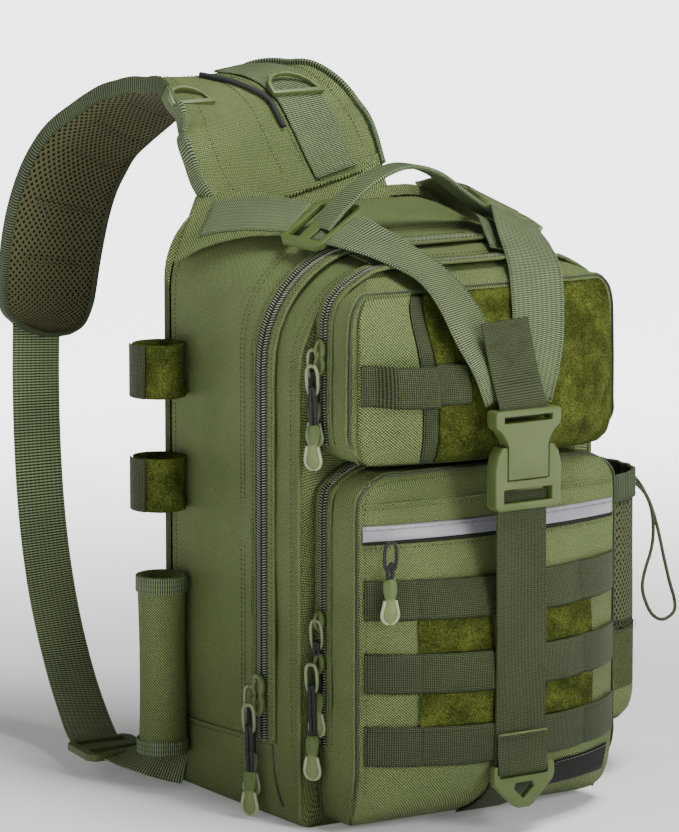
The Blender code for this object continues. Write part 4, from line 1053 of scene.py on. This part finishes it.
def makeVStraps():
    for label, side in (("left", -1), ("right", 1)):
        across, along, up = lockFrame(side)
        centre = vPoint(side, 0.0, 1.0, 0.0)
        rows = vShape["sections"][2:]
        points = [centre + along * 0.006 + up * -0.001, centre + along * 0.021, *[vPoint(side, *row) for row in rows]]
        sides = [across, across, *[vAcross(side, row[0]) for row in rows]]
        run, turned = strap(f"vStrap_{label}", points, sides, strapShape["wide"], 0.0018, "ribbed",
                            [f"v_strap_{label}"], steps=5)
        # The strap doubles back under the lock's bar
        inward = rightward * side * -0.0080
        back = [centre + along * 0.004 + up * 0.0075 + inward, centre + along * 0.024 + up * 0.0080 + inward,
                vPoint(side, *rows[0]) + inward + upward * -0.0085]
        strap(f"vReturn_{label}", back, [across, across, vAcross(side, 0.4)], 0.036, 0.0016, "ribbed")
        for edge in (-0.0172, 0.0172):
            spots = list(facing(run, turned, Vector((0, -1, 1))))[12:]
            line = [point + flat * edge + away * 0.0010 for point, flat, away in spots]
            stitchLine(line, [away for _, _, away in spots])


def makeWings():
    widths = ((0.0, 1.75), (0.33, 1.5), (0.67, 1.2), (1.0, 1.0))
    half, top, corner, _ = bodyRing(bodyHigh.y)
    for label, side in (("left", -1), ("right", 1)):
        across, along, _ = lockFrame(side)
        end = vPoint(side, 0.0, 1.0, 0.0) - along * 0.0199
        mid = Vector((side * (half - corner * 0.42), bodyHigh.y, top - corner * 0.42))
        seat = mid + Vector((side, 0.0, 1.0)).normalized() * (corner * 0.1833 + 0.004)
        slope = Vector((side, 0.0, -1.0)).normalized() * side
        points = [seat, seat.lerp(end, 0.33) + upward * 0.006, seat.lerp(end, 0.67) + upward * 0.005, end]
        sides = [slope.lerp(across, t) for t in (0.0, 0.35, 0.7, 1.0)]
        run, turned = strap(f"wing_{label}", points, sides, strapShape["wide"], 0.0030, "cloth", [f"wing_{label}"],
                            steps=10, spread=lambda v: eased(widths, v)[0])
        # Webbing sewn along the wing
        lifted = [point + away * 0.0022 for point, _, away in facing(run, turned, upward)]
        sweep(f"wingWebbing_{label}", lifted[6:], turned[6:], slab(0.036, 0.0015), "ribbed")


def makeHandle():
    settings = {"width": 0.026, "thickness": 0.0034, "rise": 0.040, "waist": 0.22, "sink": 0.0060,
                "feet": (Vector((-0.0020, -0.0020, -0.0080)), Vector((-0.0130, 0.0020, -0.0085)))}
    left, right = (vPoint(side, 0.0, 1.0, 0.0) - lockFrame(side)[2] * settings["sink"] + foot
                   for side, foot in zip((-1, 1), settings["feet"]))
    shape = ((0.0, 0.0), (0.1, 0.34), (0.24, 0.72), (0.4, 0.97), (0.52, 1.0), (0.66, 0.84), (0.8, 0.48),
             (0.92, 0.18), (1.0, 0.0))
    points = [left + (right - left) * share + upward * settings["rise"] * rise for share, rise in shape]
    strap("carryHandle", points, [backward] * len(points), settings["width"], settings["thickness"], "ribbed",
          ["carry_handle"], steps=8, spread=lambda v: 1.0 - settings["waist"] * sin(pi * v) ** 2)


# Shoulder strap

padShape = {
    "base": Vector((-0.011, bodyHigh.y + 0.0003 + 0.007, bodyHigh.z + 0.007 + 0.0006)),
    "width": 0.150, "rise": 0.074, "reach": 0.180, "sweep": 0.113, "thickness": 0.012, "end": 15,
    "seams": (6.9, 8.0, 9.1, 10.5, 11.9),
    # run, sweep, reach, height, width, turn, dip
    "sections": ((0, 0.0, 0.0, 0.0, 1.0, 0, 0), (1, 0.05, 0.065, 0.3, 1.05, 2, 0),
                 (2, 0.09, 0.12, 0.56, 1.02, 4, 0), (3, 0.12, 0.2, 0.8, 0.96, 6, 1),
                 (4, 0.18, 0.31, 0.95, 0.88, 8, 2), (5, 0.27, 0.44, 1.0, 0.77, 9, 3),
                 (6, 0.39, 0.565, 0.94, 0.65, 10, 4), (7, 0.52, 0.69, 0.8, 0.57, 10, 5),
                 (8, 0.65, 0.8, 0.58, 0.53, 8, 5), (9, 0.77, 0.88, 0.33, 0.52, 6, 5),
                 (10, 0.87, 0.935, -0.02, 0.52, 5, 5), (11, 0.93, 0.97, -0.42, 0.52, 5, 4),
                 (12, 0.965, 0.99, -0.82, 0.51, 5, 3), (13, 0.985, 1.0, -1.17, 0.49, 5, 2),
                 (14, 1.0, 1.0, -1.4, 0.42, 5, 1), (15, 1.015, 0.998, -1.52, 0.27, 5, 0)),
}


def padStation(place):
    sweepShare, reach, rise, width, turn, dip = eased(padShape["sections"], place)
    offset = Vector((-padShape["sweep"] * sweepShare, padShape["reach"] * reach, padShape["rise"] * rise))
    a, b = radians(turn), radians(dip)
    return padShape["base"] + offset, Vector((cos(a) * cos(b), -sin(a) * cos(b), sin(b))), padShape["width"] * width


def padFrame(place):
    point, side, width = padStation(place)
    ahead, behind = padStation(min(place + 0.15, padShape["end"]))[0], padStation(max(place - 0.15, 0))[0]
    forward = (ahead - behind).normalized()
    side, up = squareTo(side, forward)
    return point, side, width, forward, up


def onPad(across, place, out):
    # across runs from -1 to 1, out is the height over the middle layer
    point, side, width, _, up = padFrame(place)
    return point + side * (width / 2 * across) + up * out


def makePad():
    settings = {"columns": 28, "rows": 150, "edge": 0.0034, "length": 0.62, "wall": 0.0025, "bound": 0.985}
    half, end, bound = padShape["thickness"] / 2, padShape["end"], settings["bound"]

    def face(sign):
        def place(u, v):
            across = (-1.0 + 2.0 * u) * sign
            x = abs(across)
            swell = settings["edge"] + (half - settings["edge"]) * (1.0 - x**6)
            at = end * v
            swell *= 1.0 - 0.5 * max(0.0, (at - 14.3) / 0.7)
            if sign < 0:
                # Cross seams press lines into the inner face
                for seam in padShape["seams"]:
                    swell -= 0.0016 * max(0.0, 1.0 - abs(at - seam) / 0.10) * (x < 0.62)
            return onPad(across * (1.0 - 0.02 * (1 - x)), at, swell * sign)
        return place

    for sign, label, look in ((1, "padOuter", "cloth"), (-1, "padInner", "spacer")):
        work = layGrid(face(sign), settings["columns"], settings["rows"], (0.10, settings["length"]))
        thicken(work, settings["wall"])
        keep(label, work, look, ["shoulder_pad"] if sign > 0 else ())
    # The bound edge, all round the pad
    rim = [onPad(-bound, place, 0.0) for place in spaced(0, end, 120)]
    ahead = padFrame(end)[3]
    rim += [onPad(-bound + 2 * bound * i / 16, end, 0.0) + ahead * 0.004 * sin(pi * i / 16) for i in range(1, 16)]
    rim += [onPad(bound, end * (1 - i / 120), 0.0) for i in range(121)]
    outs = [padFrame(min(max(end * min(i, 256 - i) / 120, 0.0), end))[4] for i in range(len(rim))]
    # The hanging loop of the binding takes the darker binding copy of the webbing, a painted shade where it hangs in
    # shadow; its two ends on the yoke keep the ribbed webbing's colour
    for label, start, stop, look, width in (("Left", 0, 42, "ribbed", 0.0160), ("Loop", 41, 217, "binding", 0.0125),
                                            ("Right", 216, 257, "ribbed", 0.0160)):
        sweep("padBinding" + label, rim[start:stop], outs[start:stop], slab(width, 0.0042), look)
    root = [onPad(0.0, 0.25, 0.0), onPad(0.0, 0.0, -0.001), padShape["base"] + Vector((0.0, -0.0045, -0.010)),
            padShape["base"] + Vector((0.0, -0.0060, -0.022))]
    strap("yokeRoot", root, [rightward] * 4, padShape["width"] * bound, 0.0090, "cloth")
    # Seams across the inner face, and a cross between two of them
    lines = [((-0.60, seam), (1.2, 0.0), seam) for seam in padShape["seams"]]
    lines += [((sign * -0.55, 10.6), (sign * 1.1, 1.2), 11.2) for sign in (-1, 1)]
    for (across, place), (width, rise), middle in lines:
        line = [onPad(x, at, -half - 0.0002) for x, at in zip(spaced(across, width, 8), spaced(place, rise, 8))]
        stitchLine(line, [-padFrame(middle)[4]] * 9, pitch=0.0026)


def makePadTrim():
    half = padShape["thickness"] / 2
    settings = {"shift": 0.030, "lift": 0.0015, "cord": 0.0020}
    frames = [padFrame(place) for place in (0.15, 1, 2, 3, 4, 5)]
    points = [point + side * settings["shift"] + up * (half + settings["lift"]) for point, side, _, _, up in frames]
    sides = [side for _, side, _, _, _ in frames]
    strap("shoulderTape", points, sides, strapShape["wide"], strapShape["thin"], "ribbed", ["shoulder_tape"])
    places = spaced(0.6, 5.4, 20)
    for across in (-0.74, -0.16, 0.10, 0.80):
        line = [onPad(across, place, half + 0.0004) for place in places]
        stitchLine(line, [padFrame(place)[4] for place in places])
    route = [onPad(across * 2, place, half + 0.0004 + settings["cord"]) for place, across in
             ((5, -0.10), (4.5, -0.07), (4, -0.04), (3.5, -0.005), (3, 0.03), (2.5, 0.03), (2, 0.03))]
    tube("elasticKeeper", route, settings["cord"], "cordBlack", ["elastic_keeper"], steps=8)


def makeStrapWebbing():
    end = padStation(padShape["end"])[0]
    foot = Vector((-0.151, 0.152, 0.019))
    along = Vector((0.0, -1.0, -0.10)).normalized()
    heel = foot - along * (0.019 + 0.00255)
    start = end + Vector((-0.006, 0.0, 0.006))
    # fall, sweep, way forward
    rows = ((0.0, 0.0, 0.0), (0.15, 0.14, 0.03), (0.31, 0.2, 0.06), (0.48, 0.18, 0.1), (0.63, 0.1, 0.16),
            (0.76, -0.02, 0.24), (0.88, 0.05, 0.42), (0.96, 0.45, 0.7), (1.0, 1.0, 1.0))
    points = [Vector((start.x + (heel.x - start.x) * sweepShare, start.y + (heel.y - start.y) * forward,
                      start.z - (start.z - heel.z) * fall)) for fall, sweepShare, forward in rows]
    points.append(foot - along * 0.004)
    sides = [Vector((1.0, -0.10, 0.0))] * 9 + [rightward]
    strap("strapWebbing", points, sides, strapShape["wide"], strapShape["thin"], "sling", ["strap_webbing"], steps=8)
    seat = Vector((-bodyShape["halfWidth"] * 0.994 - 0.0024, bodyHigh.y - 0.019, 0.0145))
    near = foot + along * 0.008
    points = [near, near.lerp(seat, 0.5) + Vector((-0.004, 0.0, 0.002)), seat]
    sides = [rightward, Vector((0.8, 0.3, 0.5)), Vector((0.0, 0.45, 0.9))]
    strap("lowerTab", points, sides, 0.036, strapShape["thin"], "sling", ["lower_tab"], steps=10,
          spread=lambda v: 1.0 - 0.38 * v)


# Hard pieces: the CAD shapes with moulded edges

def mould(node, name, radius):
    work = bmesh.new()
    work.from_mesh(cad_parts[node].data)
    bmesh.ops.remove_doubles(work, verts=work.verts, dist=1e-6)
    bmesh.ops.dissolve_limit(work, angle_limit=radians(3), verts=work.verts, edges=work.edges)
    sharp = [edge for edge in work.edges if len(edge.link_faces) == 2 and edge.calc_face_angle(0.0) > radians(28)]
    soften(work, sharp, radius)
    keep(name, work, "plastic", [node]).data.set_sharp_from_angle(angle=radians(40))


def makeHardPieces():
    radii = {"buckle_socket": 0.0014, "buckle_plug": 0.0014, "triangle_ring": 0.0009, "ladder_lock_left": 0.0010,
             "ladder_lock_right": 0.0010, "lower_lock": 0.0010, "d_ring": 0.0009, "side_d_ring": 0.0009}
    for node, radius in radii.items():
        first, *others = node.split("_")
        mould(node, first + "".join(word.capitalize() for word in others), radius)


# Zip pulls: slider, wire loop, cord and rubber tab

pullShape = {
    "slider": (0.0116, 0.0152, 0.0034), "loop": (0.0042, 0.0100), "wire": 0.0013, "cord": 0.0014, "tab": 0.0310,
    "turn": 34.0, "clear": 0.0036, "grip": 0.44, "bow": 0.0016, "steps": 28, "rise": 0.0065,
    # share of the tab's length, half width
    "outline": ((0.0, 0.0036), (0.05, 0.0047), (0.18, 0.0052), (0.34, 0.0045), (0.46, 0.0039), (0.6, 0.0047),
            (0.8, 0.0058), (0.92, 0.0048), (1.0, 0.0018)),
}


def makeSlider(label, seat, across, out, size=1.0):
    width, height, thick = (side * size for side in pullShape["slider"])
    work = bmesh.new()
    bmesh.ops.create_circle(work, cap_ends=True, segments=14, radius=0.5)
    for vertex in work.verts:
        vertex.co.x *= width * (1.0 - 0.16 * max(0.0, -vertex.co.y * 2))
        vertex.co.y *= height
    grown = bmesh.ops.extrude_face_region(work, geom=work.faces[:])["geom"]
    grown = [part for part in grown if isinstance(part, bmesh.types.BMVert)]
    bmesh.ops.translate(work, vec=(0.0, 0.0, thick), verts=grown)
    bmesh.ops.recalc_face_normals(work, faces=work.faces)
    soften(work, [edge for edge in work.edges if edge.calc_face_angle(0.0) > 1.0], 0.0011)
    bmesh.ops.transform(work, matrix=placement((across, upward, across.cross(upward)), seat), verts=work.verts)
    bmesh.ops.recalc_face_normals(work, faces=work.faces)
    keep(label + "_slider", work, "plastic", slot="tab_green")
    turns = spaced(0, pi, 10)
    arch = [seat + upward * (0.0052 * cos(a)) + out * (thick + 0.0026 * sin(a) - 0.0004) for a in turns]
    tube(label + "_bridge", arch, 0.0013, "plastic", slot="tab_green")


def makePull(label, node, seat=None, size=1.0):
    low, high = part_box(node)
    side = seat is not None
    if side:
        makeSlider(label, seat, forwards, -rightward, size)
    else:
        # The flap's pull hangs from under the reflective strip
        low, high = low + upward * pullShape["rise"], high + upward * pullShape["rise"]
    angle = radians(pullShape["turn"])
    out = Vector((-cos(angle), -sin(angle), 0)) if side else Vector((-0.32, -0.95, 0)).normalized()
    across = upward.cross(out)
    length = high.z - low.z
    top = Vector(((low.x + high.x) / 2, (low.y + high.y) / 2, high.z))
    top -= rightward * 0.0016 if side else backward * 0.0012
    half, reach = pullShape["loop"]
    ring = []
    for a in spaced(0, 2 * pi, 28):
        x = half * (1 if sin(a) >= 0 else -1) * abs(sin(a)) ** 0.6
        z = reach * (1 if cos(a) >= 0 else -1) * abs(cos(a)) ** 0.8
        ring.append(top - upward * (0.0130 - z) + across * x + out * (0.0022 + 0.0014 * cos(a)))
    tube(label + "_wire", ring, pullShape["wire"], "wire" if side else "cordBlack", [node], slot="tab_green")
    start, stop = top - upward * 0.0185, top - upward * (length - pullShape["tab"] + 0.0030)
    for sign in (-1, 1):
        # share of the way down, sideways, outwards, upwards
        lay = ((0.0, 0.0002, 0.0040, 0.0012), (0.0, 0.0014, 0.0022, -0.0028), (0.45, 0.0017, 0.0012, 0.0),
               (0.8, 0.0014, 0.0, 0.0), (1.0, 0.0011, 0.0, 0.0))
        line = [start.lerp(stop, share) + across * sign * x + out * y + upward * z for share, x, y, z in lay]
        tube(f"{label}_cord_{'ab'[sign > 0]}", line, pullShape["cord"], "cordBlack", steps=6)
    # Tab: a waisted rubber grip and its pale rim, clear of the floor
    size, steps, grip = pullShape["tab"], pullShape["steps"], pullShape["grip"]
    base = top - upward * (length - size - max(0.0, pullShape["clear"] - low.z))

    def onTab(t, x, z):
        return base - upward * size * t + across * x + out * (z + pullShape["bow"] * sin(pi * t))

    def reachAt(t):
        return eased(pullShape["outline"], t)[0]

    def tabSkin(u, v):
        a, t = 2 * pi * u, round(v * steps) / steps
        thick = 0.0024 if t < grip else 0.0017
        dimple = 0.0006 * max(0.0, 1.0 - ((t - 0.74) / 0.13) ** 2) if t > 0.5 else 0.0
        x = (reachAt(t) - (0.0 if t < grip else 0.0006)) * cos(a)
        z = thick * sin(a) * (1.0 - 0.25 * abs(cos(a))) + (dimple * (1 - abs(cos(a))) if sin(a) > 0 else 0.0)
        return onTab(t, x, z)

    work = layGrid(tabSkin, 22, steps, (0.026, size), closed=True, capped=True)
    piece = keep(label + "_tab", work, "plastic", slot="tab_green")
    piece.data.materials.append(looks["tab"])
    for face in piece.data.polygons:
        face.material_index = 1 if (base - face.center).dot(upward) > size * grip else 0
    marks = spaced(0.47, 0.52, 14)
    rim = [onTab(t, reachAt(t), 0.0) for t in marks] + [onTab(t, -reachAt(t), 0.0) for t in reversed(marks)]
    tube(label + "_rim", rim, 0.0012, "rim")


def makePulls():
    pulls = (("main", "Upper", None), ("main", "Lower", None), ("lower", "Upper", lowerPocket),
             ("lower", "Lower", lowerPocket), ("upper", "Left", upperPocket), ("upper", "Right", upperPocket))
    for zipName, end, pocket in pulls:
        node, y = f"{zipName}_pull_{end.lower()}", zipDepths[zipName]
        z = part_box(node)[1].z - 0.0030
        x = pocket.centre - pocket.level(z)[0] - 0.0040 if pocket else -bodyRing(y)[0] - 0.0026
        makePull(f"{zipName}Pull{end}", node, Vector((x, y, z)), 1.0 if pocket else 1.25)
    makePull("flapPull", "flap_pull")


# Upper pocket front: holster, binding, band and pile panel

def makeUpperFront():
    pocket, seam, edge = upperPocket, -0.066, 0.004
    low, high = (pocket.low + (pocket.high - pocket.low) * share for share in (0.035, 0.895))
    left, right = pocket.centre - pocket.half + edge, pocket.centre + pocket.half - edge
    frontPatch("toolHolster", pocket, left, seam, low, high, 0.0022, "cloth", ["tool_holster"], grid=(30, 50))
    frontPatch("holsterBinding", pocket, seam + 0.0004, seam + 0.0105, low, high, 0.0024, "gridded",
               ["holster_binding"], grid=(8, 50))
    frontPatch("pilePanel", pocket, seam + 0.0115, right, low, high, 0.0018, "pile", ["loop_panel"], grid=(90, 60),
               bulge=lambda u, v: 0.0007 * noise.noise(Vector((u * 60, v * 40, 3.0))))
    # The band stands off the panel in its middle
    bandLow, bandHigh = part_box("holster_band")
    shape = ((0.0, 0.0), (0.10, 0.0), (0.24, 0.012), (0.56, 0.012), (0.72, 0.0), (1.0, 0.0))
    frontPatch("holsterBand", pocket, left, -0.034, bandLow.z, bandHigh.z, 0.0017, "gridded", ["holster_band"],
               lift=0.0042, grid=(60, 14), bulge=lambda u, v: eased(shape, u)[0], turned=True)


# Left side: rod sleeve and keepers; right side: mesh pocket and its cord

def makeLeftSide():
    def ringPiece(name, node, look, slot, wall):
        low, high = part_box(node)
        centre, radius, height = (low + high) / 2, (high.x - low.x) / 2, high.z - low.z

        def place(u, v):
            a = 2 * pi * u
            r = radius * (1.0 - 0.05 * abs(sin(pi * v)))
            squeeze = 1.0 + 0.06 * noise.noise(Vector((cos(a) * 1.4, sin(a) * 1.4, low.z * 30 + v * 2)))
            x, y = r * cos(a) * squeeze, r * sin(a) * squeeze
            return Vector((centre.x + min(x, radius), centre.y + y, low.z + height * v))

        work = layGrid(place, 56, 24, (2 * pi * radius, height), closed=True)
        thicken(work, wall)
        keep(name, work, look, [node], slot)
        return low, high

    def hoop(name, low, high, turns, lift, z, tall, thickness, look):
        centre, radius = (low + high) / 2, (high.x - low.x) / 2 + lift
        ring = [Vector((centre.x + radius * cos(a), centre.y + radius * sin(a), z)) for a in turns]
        sweep(name, ring, [upward] * len(ring), slab(tall, thickness, 3), look)

    low, high = ringPiece("rodSleeve", "rod_sleeve", "cloth", "cloth_green", 0.0022)
    for z, tall in ((high.z - 0.0058, 0.0120), (low.z + 0.0050, 0.0108)):
        hoop(f"sleeveHem_{round(z * 1000)}", low, high, spaced(0, 2 * pi, 40), 0.0004, z, tall, 0.0020, "ribbed")
    for name in ("Low", "High"):
        low, high = ringPiece("rodLoop" + name, "rod_loop_" + name.lower(), "pile", "webbing_green", 0.0020)
        turns = [radians(a) for a in spaced(150, 60, 10)]
        hoop(f"rodLoop{name}Tape", low, high, turns, 0.0012, (low.z + high.z) / 2, high.z - low.z, 0.0016, "gridded")


sideShape = {
    "length": 0.104, "bulge": 0.060, "centre": -0.009, "low": 0.045, "height": 0.180, "turn": 2.4, "mesh": 0.88,
    "solid": 0.36, "girth": 0.19,
    # height, swell
    "sections": ((0.0, 0.8), (0.03, 0.95), (0.1, 1.0), (0.4, 1.0), (0.88, 0.97), (1.0, 0.96)),
}


def onSidePocket(u, height, lift=0.0):
    swell = eased(sideShape["sections"], height)[0]
    a, power = pi * u - pi / 2, 2 / sideShape["turn"]
    reach = (sideShape["bulge"] * swell + lift) * abs(cos(a)) ** power
    run = (sideShape["length"] / 2 + lift) * (abs(sin(a)) ** power * (1 if a > 0 else -1))
    return Vector((bodyShape["halfWidth"] + 0.0003 + reach, sideShape["centre"] + run,
                   sideShape["low"] + sideShape["height"] * height))


def makeSidePocket():
    def gathered(u, v):
        return onSidePocket(u, sideShape["mesh"] * v) + rightward * (0.0012 * sin(u * 60) * max(0.0, v - 0.7) / 0.3)

    def solid(u, v):
        return onSidePocket(u, sideShape["solid"] * v, 0.0006)

    for name, place, columns, rows, reach, wall, look, replaces in (
            ("meshPocket", gathered, 70, 44, "mesh", 0.0020, "sideMesh", ["side_pocket"]),
            ("pocketBase", solid, 60, 16, "solid", 0.0012, "cloth", ())):
        work = layGrid(place, columns, rows, (sideShape["girth"], sideShape["height"] * sideShape[reach]))
        keep(name, thicken(work, wall), look, replaces)
    work = bmesh.new()
    face = work.faces.new([work.verts.new(onSidePocket(u, 0.0)) for u in spaced(0, 1, 40)])
    bmesh.ops.solidify(work, geom=[face], thickness=0.0020)
    bmesh.ops.recalc_face_normals(work, faces=work.faces)
    keep("pocketFloor", work, "cloth")
    hem = [onSidePocket(i / 60, 0.935, 0.0006) + rightward * (0.0012 * sin(i * 1.3)) for i in range(61)]
    sweep("sideHem", hem, [upward] * 61, slab(0.0205, 0.0030), "binding", ["side_hem"])
    ups = [rightward if 6 < i < 34 else Vector((0.3, -1.0 if i <= 6 else 1.0, 0.0)) for i in range(41)]
    for height in (0.35, 0.89, 0.985):
        stitchLine([onSidePocket(u, height, 0.0024) for u in spaced(0, 1, 40)], ups)


drawCord = ((0.1828, -0.036, 0.215), (0.1885, -0.0362, 0.2085), (0.1975, -0.0366, 0.193),
            (0.204, -0.037, 0.174), (0.2092, -0.0372, 0.154), (0.2145, -0.0374, 0.135),
            (0.2198, -0.0374, 0.119), (0.2185, -0.0372, 0.1105), (0.209, -0.037, 0.1065),
            (0.1995, -0.0368, 0.1115), (0.1928, -0.0366, 0.1235), (0.1905, -0.0366, 0.134),
            (0.193, -0.0368, 0.146), (0.1978, -0.0372, 0.16), (0.199, -0.038, 0.174), (0.1962, -0.0392, 0.19),
            (0.1895, -0.0402, 0.203), (0.1804, -0.0406, 0.2115))


def makeDrawCord():
    run = smoothRun(drawCord, 3)
    curve = bpy.data.curves.new("drawCord", "CURVE")
    curve.dimensions = "3D"
    curve.bevel_depth = 0.0013
    curve.bevel_resolution = 3
    curve.use_fill_caps = True
    line = curve.splines.new("POLY")
    line.points.add(len(run) - 1)
    for spot, point in zip(line.points, run):
        spot.co = (*point, 1.0)
    curve.materials.append(looks["cordGreen"])
    piece = show("drawCord", curve)
    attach(piece, "root")
    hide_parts("draw_cord")
    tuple(drawCord[0])
    travelled(run)[-1]


makeDrawCord()
makeBody()
makeBackPad()
print("main compartment made")
lowerPocket.make("lowerPocketCover")
upperPocket.make("upperPocketCover")
makeRows()
makePatches()
makeUpperFront()
print("pockets made")
makeZips()
makeSeams()
print("zips and seams made")
makeFrontStraps()
makeVStraps()
makeWings()
makeHandle()
makePad()
makePadTrim()
makeStrapWebbing()
print("straps made")
makeHardPieces()
makePulls()
makeLeftSide()
makeSidePocket()
for kind, label in (("thread", "seamStitches"), ("thread light", "paleStitches"), ("thread dark", "darkStitches")):
    gather(label, kind)
print("small pieces made")

# Floor
work = bmesh.new()
bmesh.ops.create_grid(work, x_segments=1, y_segments=1, size=30.0)
floorMesh = bpy.data.meshes.new("floor")
work.to_mesh(floorMesh)
work.free()
floorMesh.materials.append(floorLook)
show("floor", floorMesh)
